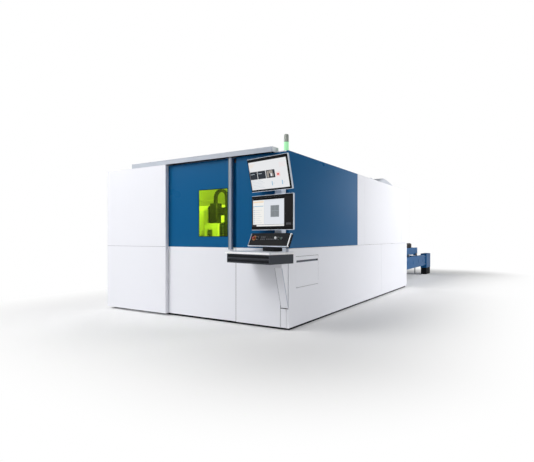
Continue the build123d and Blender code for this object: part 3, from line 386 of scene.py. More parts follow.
# The strip at the leg's foot is black: painted shadow under the foot
makePiece("legFootPaintedShadow", "machine", [blackRubberAndPaintedShade], [
    {"x": (-127, -6), "y": (-4, 0), "z": (leg["foot"] - 9, leg["foot"] - 1)},
])
cheekLength = math.hypot(leg["reach"], leg["top"] - leg["foot"])
cheekPlace = Matrix.Translation((0, 0, leg["foot"])) @ Matrix.Rotation(math.radians(leanAngle), 4, "X")
makePiece("legCheekPaintedShade", "machine", [powderTrim, greyFoamAndPaintedShade], [
    {"x": (leg["x"][1] - 0.2, leg["x"][1] + 4), "y": (-3, 9), "z": (6, cheekLength - 4), "bevel": 1},
    {"x": (leg["x"][0] - 1.2, leg["x"][0] + 1.8), "y": (-0.8, 3), "z": (6, cheekLength - 4), "slot": 1},
], cheekPlace)
print("front dressed")

# Operator console, in its own square axes: x to its right, y to the machine, each foot as (y, z)
console = {"pin": (-80, -82, 0), "swivel": -12, "lowerFoot": (-130, 1340), "upperFoot": (-120, 1854),
           "upperTilt": 12.8, "keypadFoot": (-200, 1128), "keypadTilt": -25}
consolePlace = Matrix.Translation(console["pin"]) @ Matrix.Rotation(math.radians(console["swivel"]), 4, "Z")


def leant(foot, tilt):
    return consolePlace @ Matrix.Translation((0, *foot)) @ Matrix.Rotation(math.radians(tilt), 4, "X")


lowerPlace = leant(console["lowerFoot"], 0)
upperPlace = leant(console["upperFoot"], console["upperTilt"])
keypadPlace = leant(console["keypadFoot"], console["keypadTilt"])


# Light from the panel behind: a black ground that glows in its colour, with little sheen
inks = {"paper": "#E6E7E9", "panel": "#EFEEEA", "canvas": "#DFE3E9", "line": "#B9C4CE", "dark": "#2B3038",
        "mid": "#80868A", "red": "#D5504B", "pink": "#F0D2D0", "blue": "#86B6D2", "sand": "#F1D9BC",
        "bar": "#3A3435", "steel": "#9A938C"}
displayInk = [surface("display" + ink.title(), "#050505", roughness=0.4, tint=0.0, bump=0.0, specular=0.1,
                      glow=colour, glowStrength=1.0) for ink, colour in inks.items()]
inkOrder = list(inks)


def screenTiles(name, body, place, tiles):
    # Lit tiles just proud of the cover glass, each (left, right, foot, top, ink, lift)
    shapes = []
    for left, right, foot, top, ink, lift in tiles:
        shapes.append({"x": (left, right), "y": (2 - lift * 0.25, 2), "z": (foot, top),
                       "slot": inkOrder.index(ink)})
    makePiece(name, body, displayInk, shapes, place)


# Upper screen: a job list, three camera tiles, a status mark and two small gauges
upperScreen = {"x": (-397, 278), "z": (30, 401)}
upperTiles = [(*upperScreen["x"], *upperScreen["z"], "paper", 1)]
upperTiles += [(-395, -262, 168, 272, "dark", 2), (-254, -108, 168, 272, "dark", 2)]
upperTiles += [(-384, -310, 236, 242, "line", 3), (-243, -176, 236, 242, "line", 3)]
upperTiles += [(-98, 58, 168, 272, "dark", 2), (-84, -52, 176, 258, "steel", 3),
               (-46, 20, 226, 264, "steel", 3), (-22, 6, 188, 226, "paper", 3),
               (10, 30, 182, 222, "steel", 3)]
upperTiles += [(74, 146, 176, 232, "pink", 2), (92, 130, 194, 214, "red", 3)]
for row in range(3):
    upperTiles.append((-385, -330 + row * 24, 334 + row * 16, 338 + row * 16, "sand", 2))
for row in range(4):
    upperTiles.append((146, 262, 296 + row * 15, 299 + row * 15, "pink", 2))
for column in range(2):
    left = -20 + column * 178
    upperTiles += [(left, left + 13, 68, 124, "blue", 2), (left + 20, left + 50, 92, 97, "line", 2)]
for row in range(6):
    upperTiles.append((-380, -150 - (row % 3) * 26, 52 + row * 20, 55 + row * 20, "line", 2))
screenTiles("upperDisplayPicture", "upper_display", upperPlace, upperTiles)

# Lower screen: a list on the left and a sheet on the drawing canvas
lowerScreen = {"x": (-386, 184), "z": (50, 402)}
lowerTiles = [(*lowerScreen["x"], *lowerScreen["z"], "canvas", 1)]
lowerTiles += [(-383, -176, 78, 398, "panel", 2), (-381, -184, 368, 386, "sand", 3),
               (-381, -186, 316, 324, "blue", 3), (-376, -364, 300, 308, "bar", 3)]
for row in range(7):
    foot = 94 + row * 28
    lowerTiles += [(-376, -348, foot, foot + 12, "line", 3),
                   (-338, -212 - (row % 3) * 18, foot + 4, foot + 7, "line", 3)]
lowerTiles += [(-172, -170, 78, 398, "line", 2), (-160, 178, 390, 393, "line", 2)]
lowerTiles += [(-56, 94, 170, 322, "mid", 2)]
for column in range(2):
    for row in range(2):
        left, foot = -50 + column * 72, 176 + row * 74
        lowerTiles += [(left, left + 66, foot, foot + 1.5, "line", 3),
                       (left, left + 1.5, foot, foot + 68, "line", 3)]
lowerTiles += [(-383, 180, 72, 75, "bar", 2), (-316, 180, 54, 69, "panel", 2), (-386, -318, 50, 72, "bar", 2)]
screenTiles("lowerDisplayPicture", "lower_display", lowerPlace, lowerTiles)


def bezel(name, body, place, sizes, keys=0):
    # A black front laid on the pale shell, with a touch strip of soft keys beside the lower screen
    x, z, screenX, screenZ = sizes["x"], sizes["z"], sizes["screenX"], sizes["screenZ"]
    y = (-1.2, 0.2)
    shapes = [
        {"x": (x[0], screenX[0]), "y": y, "z": z}, {"x": (screenX[1], x[1]), "y": y, "z": z},
        {"x": screenX, "y": y, "z": (z[0], screenZ[0])}, {"x": screenX, "y": y, "z": (screenZ[1], z[1])},
    ]
    if keys:
        shapes.append({"x": (screenX[1] + 8, x[1] - 12), "y": (-1.5, -1.0), "z": (40, 426), "slot": 1})
    for row in range(keys):
        foot = 66 + row * 44
        shapes.append({"x": (screenX[1] + 34, x[1] - 34), "y": (-2.4, -1.4), "z": (foot, foot + 26),
                       "bevel": 0.8, "slot": 2 if row < 1 else 1})
    makePiece(name, body, [bezelAbs, keyFoil, keyCapGrey], shapes, place)


bezels = {
    "upper": {"x": (-410, 312), "z": (7, 440), "screenX": (-399, 280), "screenZ": (28, 403)},
    "lower": {"x": (-407, 334), "z": (7, 456), "screenX": (-392, 184), "screenZ": (51, 428)},
}
bezel("upperBezel", "upper_display", upperPlace, bezels["upper"])
bezel("lowerBezel", "lower_display", lowerPlace, bezels["lower"], keys=8)


def monitorBack(name, body, place, x, z):
    # Cooling slots as black bars, painted shade inside them, a cable gland and the screws of the rear cover
    y = 60
    shapes = []
    for row in range(9):
        foot = z[1] - 60 - row * 12
        shapes.append({"x": (x[0] + 40, x[1] - 40), "y": (y - 1, y + 0.6), "z": (foot, foot + 5), "bevel": 0.4})
    spots = [(a, y, b) for a in (x[0] + 16, x[1] - 16) for b in (z[0] + 16, z[1] - 16)]
    shapes += [{"start": (x[0] + 120, y - 1, z[0] + 50), "end": (x[0] + 120, y + 14, z[0] + 50), "radius": 13}]
    makePiece(name, body, [blackRubberAndPaintedShade, bezelAbs], shapes + screwHeads(spots, (0, 1, 0), 5, 2.5), place)


monitorBack("upperMonitorVents", "upper_display", upperPlace, (-353, 266), (10, 385))
monitorBack("lowerMonitorVents", "lower_display", lowerPlace, (-350, 287), (10, 402))

# Keypad: a white cheek on the right, a light lip along the foot, rings, keys and lamps on its face
keypad = {"controlZ": 118, "recess": 3, "stopX": -341, "feedX": -282, "modeX": 60, "wheelX": 104, "startX": 150}
makePiece("keypadTrim", "console", [edgeBand, powderConsole], [
    {"x": (287, 305), "y": (-3, 18), "z": (2, 188), "bevel": 3},
    {"x": (-417, 287), "y": (-3, 14), "z": (-1, 9), "bevel": 2, "slot": 1},
    {"x": (-417, -411), "y": (-2, 14), "z": (9, 186), "bevel": 1.5, "slot": 1},
], keypadPlace)
ringY = (keypad["recess"] + 0.2, keypad["recess"] - 2.2)


def ring(x, radius, slot, reach=None):
    return {"start": (x, ringY[0], keypad["controlZ"]), "end": (x, reach or ringY[1], keypad["controlZ"]),
            "radius": radius, "sides": 40, "slot": slot}


keypadShapes = [ring(keypad["stopX"], 34, 0, -1.8), ring(keypad["feedX"], 22, 1), ring(keypad["feedX"], 19, 2),
                ring(keypad["modeX"], 19, 1), ring(keypad["startX"], 16, 1)]
# A black hand wheel beside the white knob, as the photograph shows
wheelX, wheelZ = keypad["wheelX"], keypad["controlZ"]
keypadShapes += [ring(wheelX, 21, 1), ring(wheelX, 18, 2, -12),
                 {"start": (wheelX, -12, wheelZ), "end": (wheelX, -14, wheelZ), "radius": 18, "endRadius": 15,
                  "slot": 2},
                 {"start": (wheelX + 6, -14, wheelZ + 6), "end": (wheelX + 6, -19, wheelZ + 6), "radius": 4,
                  "slot": 1, "sides": 16}]
for column in range(3):
    for row in range(2):
        x, z = -216 + column * 30, 92 + row * 32
        keypadShapes.append({"x": (x, x + 20), "y": (1, 3), "z": (z, z + 20), "bevel": 0.8, "slot": 3})
for index in range(5):
    x = -110 + index * 30
    keypadShapes.append({"x": (x, x + 20), "y": (1.6, 3), "z": (96, 112), "bevel": 0.6, "slot": 3})
    keypadShapes.append({"start": (x + 10, 3, 136), "end": (x + 10, 1.4, 136), "radius": 4, "sides": 16,
                         "slot": 4 if index == 1 else 3})
keypadShapes.append({"x": (-392, 270), "y": (2.4, 3), "z": (24, 50), "slot": 5})
makePiece("keypadFittings", "console", [stopYellow, anodised, knobBlack, keyCapGrey, keyGreen, keyFoil],
          keypadShapes, keypadPlace)

# Worktop: a bright ABS band on its front and its two sides
worktop = {"x": (-546, 293), "y": (-505, -45), "z": (1035, 1058)}
bandY, bandX = worktop["y"], worktop["x"]
makePiece("worktopEdgeBand", "console", [edgeBand], [
    {"x": (bandX[0] + 18, bandX[1] - 18), "y": (bandY[0] - 0.6, bandY[0] + 0.4), "z": worktop["z"]},
    {"x": (bandX[1] - 0.4, bandX[1] + 0.6), "y": (bandY[0] + 18, bandY[1] - 18), "z": worktop["z"]},
    {"x": (bandX[0] - 0.6, bandX[0] + 0.4), "y": (bandY[0] + 18, bandY[1] - 18), "z": worktop["z"]},
], consolePlace)

# Drawers: a keyboard and a mouse in the upper one, job papers and a blue notebook in the lower one
keyboard = {"x": (-330, 60), "y": (-420, -300), "z": (993, 1006), "pitch": 19}
shapes = [{"x": keyboard["x"], "y": keyboard["y"], "z": keyboard["z"], "bevel": 3}]
for row in range(5):
    for column in range(19):
        left = keyboard["x"][0] + 12 + column * keyboard["pitch"]
        foot = keyboard["y"][0] + 12 + row * keyboard["pitch"]
        if row == 0 and 4 <= column <= 9:
            continue
        shapes.append({"x": (left, left + 16), "y": (foot, foot + 16),
                       "z": (keyboard["z"][1] - 1, keyboard["z"][1] + 4), "bevel": 1, "slot": 1})
shapes.append({"x": (keyboard["x"][0] + 88, keyboard["x"][0] + 199), "y": (-408, -392),
               "z": (keyboard["z"][1] - 1, keyboard["z"][1] + 4), "bevel": 1, "slot": 1})
shapes.append({"x": (120, 180), "y": (-410, -310), "z": (992.5, 1012), "bevel": 9, "slot": 2})
makePiece("drawerKeyboard", "keyboard_tray", [bezelAbs, keyCapGrey, knobBlack], shapes, consolePlace)
papers = [{"x": (-300, -90), "y": (-430, -133), "z": (937, 939)},
          {"x": (-290, -80), "y": (-426, -129), "z": (939, 940.5), "lean": ("Z", 4)},
          {"x": (20, 150), "y": (-400, -210), "z": (936.5, 950), "bevel": 1.5, "slot": 1}]
makePiece("drawerPapers", "document_tray", [paperWhite, hoseBlue], papers, consolePlace)
# Folded lips of the two drawer fronts in the lighter graphite: a painted highlight line along each
for tray, lips in {"keyboard_tray": (1019, 986), "document_tray": (963, 931)}.items():
    shapes = [{"x": (-512, 262), "y": (-482.6, -480), "z": (z - 2, z + 2), "bevel": 0.6} for z in lips]
    makePiece(tray + "PaintedHighlightLips", tray, [textureGraphiteLitCopy], shapes, consolePlace)
print("console dressed")

# Gantry axis: separate links of the head's chain with their hoses, in two legs and a half circle
headChain = {"centreX": -1774, "centreZ": 1918, "radius": 122, "y": 820, "width": 56, "thickness": 46,
             "pitch": 36, "feet": (1822, 1731), "hoseRadii": (4.95, 3.85, 4.95, 3.3), "hosePitch": 9.5}


def chainPath(chain):
    # Places along the chain: (x, z, turn), the turn in degrees about y from standing upright
    centreX, centreZ, radius, pitch = chain["centreX"], chain["centreZ"], chain["radius"], chain["pitch"]
    spots = []
    rise = centreZ - chain["feet"][0]
    count = round(rise / pitch)
    spots += [(centreX - radius, chain["feet"][0] + (i + 0.5) * rise / count, 0) for i in range(count)]
    count = round(math.pi * radius / pitch)
    for i in range(count):
        angle = math.pi * (i + 0.5) / count
        spots.append((centreX - radius * math.cos(angle), centreZ + radius * math.sin(angle),
                      math.degrees(angle)))
    drop = centreZ - chain["feet"][1]
    count = round(drop / pitch)
    spots += [(centreX + radius, centreZ - (i + 0.5) * drop / count, 180) for i in range(count)]
    return spots


def chainLinks(chain):
    # Each link: an outer plate, a narrower inner one and a pin boss on each side, and two crossbars
    thick, wide, pitch, y = chain["thickness"], chain["width"], chain["pitch"], chain["y"]
    shapes = []
    for x, z, turn in chainPath(chain):
        place = Matrix.Translation((x, y, z)) @ Matrix.Rotation(math.radians(turn), 4, "Y")
        for side in (-1, 1):
            outer, inner = sorted((side * wide / 2, side * (wide / 2 - 6)))
            shapes.append({"x": (-thick / 2, thick / 2), "y": (outer, inner),
                           "z": (-pitch / 2 + 3, pitch / 2 - 3), "bevel": 2.2, "place": place})
            low, high = sorted((side * (wide / 2 - 6), side * (wide / 2 - 11)))
            shapes.append({"x": (-thick / 2 + 5, thick / 2 - 5), "y": (low, high),
                           "z": (-pitch / 2, pitch / 2), "place": place})
            pin = side * wide / 2
            shapes.append({"start": (0, pin, pitch / 2 - 9), "end": (0, pin + side * 0.8, pitch / 2 - 9),
                           "radius": 7, "sides": 16, "place": place})
        for edge in (-1, 1):
            low, high = sorted((edge * (thick / 2 + 2), edge * (thick / 2 - 4)))
            shapes.append({"x": (low, high), "y": (-wide / 2 + 4, wide / 2 - 4), "z": (-6, 6), "bevel": 1.6,
                           "place": place})
    return shapes


def chainHoses(chain):
    # Short overlapping lengths that turn a little at each link, side by side across the width
    path = [(chain["centreX"] - chain["radius"], chain["feet"][0])]
    path += [(x, z) for x, z, turn in chainPath(chain)]
    path += [(chain["centreX"] + chain["radius"], chain["feet"][1])]
    across = -chain["width"] / 2 + 14
    shapes = []
    for index, radius in enumerate(chain["hoseRadii"]):
        y = chain["y"] + across + index * chain["hosePitch"]
        for (x0, z0), (x1, z1) in zip(path, path[1:]):
            shapes.append({"start": (x0, y, z0), "end": (x1, y, z1), "radius": radius, "sides": 10,
                           "slot": 2 if index == 1 else 1})
    return shapes


links = makePiece("headChainLinks", None, [chainPolyamide, hoseBlack, hoseBlue],
                  chainLinks(headChain) + chainHoses(headChain))
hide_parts("energy_chain")
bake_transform(links)

# Carriage: bolts on its plate, pale pins on the cable loop, a pale junction box and the valves' fittings
carriage = {"boltX": (-2084, -1654), "boltZ": (1500, 1570, 1640, 1744), "plateY": 925,
            "pinX": (-2083, -1987), "pinZ": range(1514, 1719, 34), "loopFront": 849,
            "valveX": -1712, "valveZ": range(1290, 1435, 36), "valveFront": 790}
bolts = [(x, carriage["plateY"], z) for x in carriage["boltX"] for z in carriage["boltZ"]]
shapes = screwHeads(bolts, (0, -1, 0), 8, 6)
front = carriage["loopFront"]
shapes += [{"start": (x, front, z), "end": (x, front - 11, z), "radius": 12, "sides": 14, "slot": 4}
           for z in carriage["pinZ"] for x in carriage["pinX"]]
shapes.append({"x": (-1764, -1690), "y": (798, 925), "z": (1492, 1612), "bevel": 5, "slot": 4})
x, front = carriage["valveX"], carriage["valveFront"]
for z in carriage["valveZ"]:
    shapes += [
        {"start": (x, front, z), "end": (x, front - 14, z), "radius": 9, "sides": 16, "slot": 1},
        {"start": (x, front - 14, z), "end": (x, front - 22, z), "radius": 6, "sides": 16, "slot": 2},
        {"x": (x - 70, x - 28), "y": (front - 4, front + 1), "z": (z - 12, z + 12), "bevel": 1.5, "slot": 3},
    ]
shapes.append({"x": (-1790, -1640), "y": (front - 3, front + 1), "z": (1640, 1722), "bevel": 1.5, "slot": 3})
makePiece("carriageFittings", "carriage", [zincSteel, anodised, hoseBlue, headCoat, shroudAbs], shapes)

# Cutting head: pale moulded shroud round the lens box, service cartridge, sensor rings and gas lines.
# Each ring is (foot, radius, height)
head = {"axis": (-1994, 815), "shroudX": (-2093, -1790), "shroudY": (743, 872), "shroudZ": (1374, 1480),
        "skirtFoot": 1246, "notch": (-2024, -1912), "sheet": 3, "screwX": (-2074, -1810),
        "screwZ": (1290, 1394, 1460), "rings": ((1362, 60, 8), (1300, 60, 5), (1236, 60, 6), (1106, 46, 14)),
        "lineOut": 48, "lineZ": (1084, 1238)}
axisX, axisY = head["axis"]
(x0, x1), (y0, y1), (z0, z1) = head["shroudX"], head["shroudY"], head["shroudZ"]
sheet, skirtFoot = head["sheet"], head["skirtFoot"]
shapes = [
    {"x": (x0, x1), "y": (y0, y0 + sheet), "z": (z0, z1), "bevel": 1.2},
    {"x": (x0, head["notch"][0]), "y": (y0, y0 + sheet), "z": (skirtFoot, z0 + 2), "bevel": 1.2},
    {"x": (head["notch"][1], x1), "y": (y0, y0 + sheet), "z": (skirtFoot, z0 + 2), "bevel": 1.2},
    {"x": (x0, x0 + 2.6), "y": (y0, y1), "z": (skirtFoot, z1), "bevel": 1.2},
    {"x": (x1 - sheet, x1), "y": (y0, y1), "z": (skirtFoot, z1), "bevel": 1.2},
    {"x": (x0, x1), "y": (y0, y1), "z": (z1 - 1.8, z1 + 1), "bevel": 1},
]
for shape in screwHeads([(x, y0, z) for x in head["screwX"] for z in head["screwZ"]], (0, -1, 0), 4, 2):
    # The shroud's own material comes first in the list, so the screws move one on
    shape["slot"] = shape.get("slot", 0) + 1
    shapes.append(shape)
shapes += [{"start": (axisX, axisY, z), "end": (axisX, axisY, z + height), "radius": radius, "sides": 48,
            "slot": 3} for z, radius, height in head["rings"]]
shapes.append({"x": (axisX - 30, axisX + 30), "y": (750, 770), "z": (1244, 1292), "bevel": 4, "slot": 4})
shapes.append({"x": (axisX - 14, axisX + 14), "y": (744, 752), "z": (1258, 1278), "bevel": 3, "slot": 1})
lineFoot, lineTop = head["lineZ"]
for side in (-1, 1):
    lineX = axisX + side * head["lineOut"]
    shapes.append({"start": (lineX - side * 14, axisY, lineFoot), "end": (lineX + side * 4, axisY, lineFoot),
                   "radius": 8, "sides": 20, "slot": 1})
    shapes.append({"start": (lineX, axisY, lineFoot), "end": (lineX, axisY, lineTop), "radius": 4,
                   "sides": 12, "slot": 5})
makePiece("cuttingHeadDetails", "cutting_head",
          [shroudAbs, zincSteel, blackRubberAndPaintedShade, anodised, headCoat, hoseBlack], shapes)

# Bridge: screws along both rails, the cable tray along its back and the caps of the drive motors
bridge = {"railFront": 968, "railZ": (1514, 1714), "screwX": range(-2480, -280, 200), "trayX": (-2540, -240),
          "motorX": (-160, -2620), "motorY": 975, "motorZ": (1560, 1604)}
spots = [(x, bridge["railFront"], z) for x in bridge["screwX"] for z in bridge["railZ"]]
makePiece("bridgeRailScrews", "gantry", [zincSteel, blackRubberAndPaintedShade], screwHeads(spots, (0, -1, 0), 7, 3))
makePiece("bridgeCableTray", "gantry", [zincSteel], [
    {"x": bridge["trayX"], "y": (1112, 1140), "z": (1808, 1812)},
    {"x": bridge["trayX"], "y": (1140, 1143), "z": (1780, 1812)},
])
y, (foot, top) = bridge["motorY"], bridge["motorZ"]
shapes = []
for x in bridge["motorX"]:
    shapes += [{"start": (x, y, foot), "end": (x, y, top), "radius": 38, "endRadius": 36, "sides": 32},
               {"x": (x - 20, x + 20), "y": (y - 40, y - 15), "z": (1470, 1530), "bevel": 4, "slot": 1}]
makePiece("gantryMotorCaps", "gantry", [bezelAbs, zincSteel], shapes)
print("gantry dressed")

# Chamber: folded ribs on the partition, and strips that keep the sparks off the bed's sides
chamber = {"ribX": (-2679, -2668), "ribY": range(700, 5181, 560), "ribZ": (110, 2290),
           "stripX": ((-372, -362), (-2418, -2408)), "stripY": (660, 5710), "stripZ": (1170, 1222)}
shapes = [{"x": chamber["ribX"], "y": (y, y + 26), "z": chamber["ribZ"], "bevel": 3} for y in chamber["ribY"]]
makePiece("partitionRibs", "machine", [chamberEnamel], shapes)
shapes = [{"x": x, "y": chamber["stripY"], "z": chamber["stripZ"], "bevel": 2} for x in chamber["stripX"]]
makePiece("bedSparkStrips", "machine", [zincSteel], shapes)

# Roof: cover strips over the panel joints, screws along strips and edges but not under the hood,
# lifting eyes, and a black disc in the fume duct's bore, painted shade inside it
roof = {"top": 2404, "joints": (2100, 4200), "x": (-3560, -50), "screwX": range(-3500, -60, 290),
        "edgeY": (90, 5960), "hoodX": (-1270, -280), "hoodY": 4600, "eyeX": (-3300, -320),
        "eyeY": (420, 4450)}
top = roof["top"]
shapes = [{"x": roof["x"], "y": (y - 22, y + 22), "z": (top - 1, top + 3), "bevel": 1} for y in roof["joints"]]
makePiece("roofJointStrips", "machine", [powderTrim], shapes)
spots = [(x, y + way * 14, top + 3) for y in roof["joints"] for way in (-1, 1) for x in roof["screwX"]]
spots += [(x, y, top) for y in roof["edgeY"] for x in roof["screwX"]]
hoodLeft, hoodRight = roof["hoodX"]
spots = [spot for spot in spots if not (hoodLeft < spot[0] < hoodRight and spot[1] > roof["hoodY"])]
makePiece("roofScrews", "machine", [zincSteel, blackRubberAndPaintedShade], screwHeads(spots, (0, 0, 1), 8, 4))
eyes = []
for x in roof["eyeX"]:
    for y in roof["eyeY"]:
        eyes += [{"start": (x, y, top), "end": (x, y, top + 14), "radius": 34, "endRadius": 30},
                 {"x": (x - 9, x + 9), "y": (y - 28, y + 28), "z": (top + 14, top + 62), "bevel": 8},
                 {"start": (x - 9.5, y, top + 40), "end": (x + 9.5, y, top + 40), "radius": 13, "slot": 1}]
makePiece("roofLiftingEyes", "machine", [zincSteel, blackRubberAndPaintedShade], eyes)
duct = {"x": -640, "y": 4990, "z": (2560, 2564), "radius": 99.5}
foot, top = duct["z"]
makePiece("ductBorePaintedShade", "machine", [blackRubberAndPaintedShade], [
    {"start": (duct["x"], duct["y"], foot), "end": (duct["x"], duct["y"], top), "radius": duct["radius"],
     "sides": 64},
])
print("roof dressed")

# Rear wall: a folded frame round the pallet gate, and the cabinet's service door with hinges and louvre
gate = {"x": (-2296, -484), "z": (280, 1180), "y": (6025, 6032), "width": 40}
(x0, x1), (z0, z1), wide = gate["x"], gate["z"], gate["width"]
makePiece("palletGateFrame", "machine", [powderTrim], [
    {"x": (x0 - wide, x0), "y": gate["y"], "z": (z0, z1 + wide), "bevel": 2},
    {"x": (x1, x1 + wide), "y": gate["y"], "z": (z0, z1 + wide), "bevel": 2},
    {"x": gate["x"], "y": gate["y"], "z": (z1, z1 + wide), "bevel": 2},
])
rearDoor = {"x": (-3440, -2560), "z": (420, 2080), "y": (6025, 6031), "louvreIn": 140, "slats": 16, "pitch": 26}
(x0, x1), (z0, z1), face = rearDoor["x"], rearDoor["z"], rearDoor["y"][1]
shapes = [{"x": rearDoor["x"], "y": rearDoor["y"], "z": rearDoor["z"], "bevel": 2.5}]
for side in (x0 + 26, x1 - 60):
    for foot in (z0 + 160, z1 - 260):
        shapes.append({"x": (side, side + 34), "y": (face - 1, face + 9), "z": (foot, foot + 100), "bevel": 3,
                       "slot": 1})
louvreX = (x0 + rearDoor["louvreIn"], x1 - rearDoor["louvreIn"])
# Each slat has a black strip above it: painted shade in the gap between slats
for row in range(rearDoor["slats"]):
    foot = z0 + 90 + row * rearDoor["pitch"]
    shapes += [{"x": louvreX, "y": (face - 2, face + 6), "z": (foot, foot + 14), "bevel": 1.5,
                "lean": ("X", -28)},
               {"x": louvreX, "y": (face - 1, face + 0.5), "z": (foot + 14, foot + 24), "slot": 2}]
makePiece("rearServiceDoor", "machine", [powderWhite, zincSteel, blackRubberAndPaintedShade], shapes)
print("rear dressed")

# Pallet changer: steel tyres and axle caps on the wheels, side bolts, access plates and end post covers.
# Each pallet is (front end, wheel height), each bolted face (x, its outward way)
changer = {"centreX": -1390, "wheelX": 864, "wheelY": (260, 1200, 2100, 3040), "wheelRadius": 49.95,
           "pallets": {"inner_pallet": (1900, 430), "outer_pallet": (6200, 680)},
           "boltFaces": ((-400, 1), (-2380, -1)), "boltY": (6080, 6200, 9880, 9960), "boltZ": (360, 600),
           "plateX": 990, "plateY": range(6420, 9700, 640), "plateZ": (420, 540), "postX": 925,
           "postTop": 684}
for body, (start, wheelZ) in changer["pallets"].items():
    shapes = []
    for y in [start + along for along in changer["wheelY"]]:
        for side in (-1, 1):
            x = changer["centreX"] + side * changer["wheelX"]
            cap = x + side * 20
            shapes += [
                {"start": (x - 20.5, y, wheelZ), "end": (x + 20.5, y, wheelZ),
                 "radius": changer["wheelRadius"], "sides": 48},
                {"start": (cap, y, wheelZ), "end": (cap + side * 4, y, wheelZ), "radius": 24, "sides": 24,
                 "slot": 1},
                {"start": (cap + side * 3, y, wheelZ), "end": (cap + side * 7, y, wheelZ), "radius": 8,
                 "sides": 6, "slot": 1},
            ]
    makePiece(body + "Tyres", body, [groundSteel, zincSteel], shapes)
shapes = []
for face, way in changer["boltFaces"]:
    spots = [(face, y, z) for y in changer["boltY"] for z in changer["boltZ"]]
    shapes += screwHeads(spots, (way, 0, 0), 13, 8)
makePiece("changerBolts", "machine", [zincSteel, blackRubberAndPaintedShade], shapes)
plates, covers = [], []
for side in (-1, 1):
    x = changer["centreX"] + side * changer["plateX"]
    spanX = sorted((x, x + side * 6))
    plates += [{"x": spanX, "y": (y, y + 300), "z": changer["plateZ"], "bevel": 2} for y in changer["plateY"]]
    middle, top = changer["centreX"] + side * changer["postX"], changer["postTop"]
    covers += [{"x": (middle - 80, middle + 80), "y": (10030, 10570), "z": (top - 1, top + 5), "bevel": 2},
               {"x": (middle - 70, middle + 70), "y": (10597, 10600), "z": (300, 640), "bevel": 1, "slot": 1}]
makePiece("changerAccessPlates", "machine", [changerEnamel], plates)
makePiece("endPostCovers", "machine", [changerEnamel, plinthBlack], covers)
print("changer dressed")

# Signal tower: dark joints between the lens and its caps
tower = {"x": -121, "y": 150, "joints": (2430, 2550), "radius": 33.4}
makePiece("towerJoints", "machine", [greyFoamAndPaintedShade], [
    {"start": (tower["x"], tower["y"], z - 1.5), "end": (tower["x"], tower["y"], z + 1.5),
     "radius": tower["radius"], "sides": 48} for z in tower["joints"]
])


def rayMask(tree, *kinds):
    # 1 where a ray is of any of the given kinds
    rays = addNode(tree, "ShaderNodeLightPath")
    mask = rays.outputs[kinds[0]]
    for kind in kinds[1:]:
        mask = addNode(tree, "ShaderNodeMath", {"operation": "MAXIMUM"},
                       {0: mask, 1: rays.outputs[kind]}).outputs[0]
    return mask


# Studio: a pale floor that keeps the shadow round the machine and turns pure white further off
studio = {"floorRadius": 60, "footprint": (1.9, 5.6, 0), "shadowReach": (0.2, 2.6), "paint": 0.93,
          "ambient": 0.31, "glossy": 0.12}
floorMaterial, tree = newMaterial("studioFloorPaint")
shader = addNode(tree, "ShaderNodeBsdfPrincipled",
                 {"Base Color": (*[studio["paint"]] * 3, 1), "Roughness": 0.9, "Specular IOR Level": 0.1})
place = addNode(tree, "ShaderNodeTexCoord").outputs["Object"]
quarter = addNode(tree, "ShaderNodeVectorMath", {"operation": "ABSOLUTE"}, {0: place})
outside = addNode(tree, "ShaderNodeVectorMath", {"operation": "SUBTRACT", 1: studio["footprint"]},
                  {0: quarter.outputs["Vector"]})
beyond = addNode(tree, "ShaderNodeVectorMath", {"operation": "MAXIMUM", 1: (0, 0, 0)},
                 {0: outside.outputs["Vector"]})
distance = addNode(tree, "ShaderNodeVectorMath", {"operation": "LENGTH"}, {0: beyond.outputs["Vector"]})
far = addNode(tree, "ShaderNodeMapRange",
              {"interpolation_type": "SMOOTHSTEP", "From Min": studio["shadowReach"][0],
               "From Max": studio["shadowReach"][1]}, {"Value": distance.outputs["Value"]})
farSeen = addNode(tree, "ShaderNodeMath", {"operation": "MULTIPLY"},
                  {0: far.outputs["Result"],
                   1: rayMask(tree, "Is Camera Ray", "Is Transmission Ray", "Is Glossy Ray")})
white = addNode(tree, "ShaderNodeEmission", {"Color": (1, 1, 1, 1), "Strength": 1.0})
mixed = addNode(tree, "ShaderNodeMixShader",
                links={0: farSeen.outputs[0], 1: shader.outputs["BSDF"], 2: white.outputs["Emission"]})
addNode(tree, "ShaderNodeOutputMaterial", links={"Surface": mixed.outputs[0]})
floorMesh = bpy.data.meshes.new("studioFloor")
form = bmesh.new()
bmesh.ops.create_circle(form, cap_ends=True, segments=96, radius=studio["floorRadius"])
form.to_mesh(floorMesh)
form.free()
floorMesh.materials.append(floorMaterial)
floor = bpy.data.objects.new("studioFloor", floorMesh)
bpy.context.scene.collection.objects.link(floor)

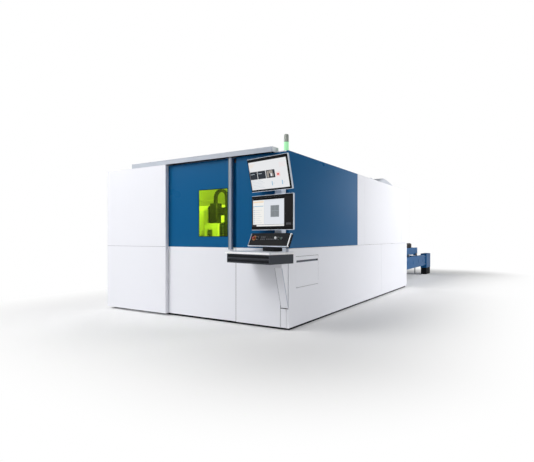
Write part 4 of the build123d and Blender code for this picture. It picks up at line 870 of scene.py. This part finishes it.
# The world: white where the camera or the clear window looks, dimmer where it lights or is mirrored
world = bpy.data.worlds.new("studioWorld")
bpy.context.scene.world = world
world.use_nodes = True
tree = world.node_tree
tree.nodes.clear()
seen = rayMask(tree, "Is Camera Ray", "Is Transmission Ray")
ambient, mirrored, white = [
    addNode(tree, "ShaderNodeBackground", {"Color": (1, 1, 1, 1), "Strength": strength})
    for strength in (studio["ambient"], studio["glossy"], 1.0)
]
dimmed = addNode(tree, "ShaderNodeMixShader",
                 links={0: rayMask(tree, "Is Glossy Ray"), 1: ambient.outputs[0], 2: mirrored.outputs[0]})
mixed = addNode(tree, "ShaderNodeMixShader", links={0: seen, 1: dimmed.outputs[0], 2: white.outputs[0]})
addNode(tree, "ShaderNodeOutputWorld", links={"Surface": mixed.outputs[0]})

# Round softboxes: place and target in drawing millimetres, size in metres, watts, spread in degrees,
# and whether gloss mirrors them
lamps = {
    "keySoftbox": ((-4700, -5500, 6200), (-2200, 0, 1100), 5, 154, 110, True),
    "sheenSoftbox": ((-10000, -4700, 5200), (-2600, 0, 1900), 4, 52, 100, True),
    "sideSoftbox": ((1500, 13200, 3200), (0, 4200, 1800), 4, 24, 100, True),
    "fillSoftbox": ((7200, 8000, 4300), (0, 5000, 1200), 5, 248, 120, False),
    "backSoftbox": ((-9500, 9500, 6500), (-2500, 4500, 1000), 5, 150, 110, True),
    "chamberGlow": ((-1150, 320, 2100), (-2250, 2100, 1550), 0.4, 50, 180, True),
}
for name, (spot, target, size, power, spread, inGloss) in lamps.items():
    data = bpy.data.lights.new(name, "AREA")
    data.shape = "DISK"
    data.size = size
    data.energy = power
    data.spread = math.radians(spread)
    lamp = bpy.data.objects.new(name, data)
    bpy.context.scene.collection.objects.link(lamp)
    lamp.location = at(*spot)
    lamp.visible_glossy = inGloss
    lamp.rotation_euler = (at(*target) - lamp.location).to_track_quat("-Z", "Y").to_euler()

# Camera: the photograph's viewpoint, fitted to the edges of the housing
view = {"eye": (2812.2, -5003.2, 1255.4), "azimuth": 32.21, "lens": 29.164, "shiftY": 0.0104}
cameraData = bpy.data.cameras.new("photoCamera")
cameraData.lens = view["lens"]
cameraData.sensor_width = 36
cameraData.sensor_fit = "HORIZONTAL"
cameraData.shift_y = view["shiftY"]
cameraData.clip_end = 200
camera = bpy.data.objects.new("photoCamera", cameraData)
camera.location = at(*view["eye"])
camera.rotation_euler = (math.radians(90), 0, math.radians(view["azimuth"]))
bpy.context.scene.collection.objects.link(camera)
bpy.context.scene.camera = camera
bpy.context.scene.view_settings.view_transform = "Standard"
print("studio ready")
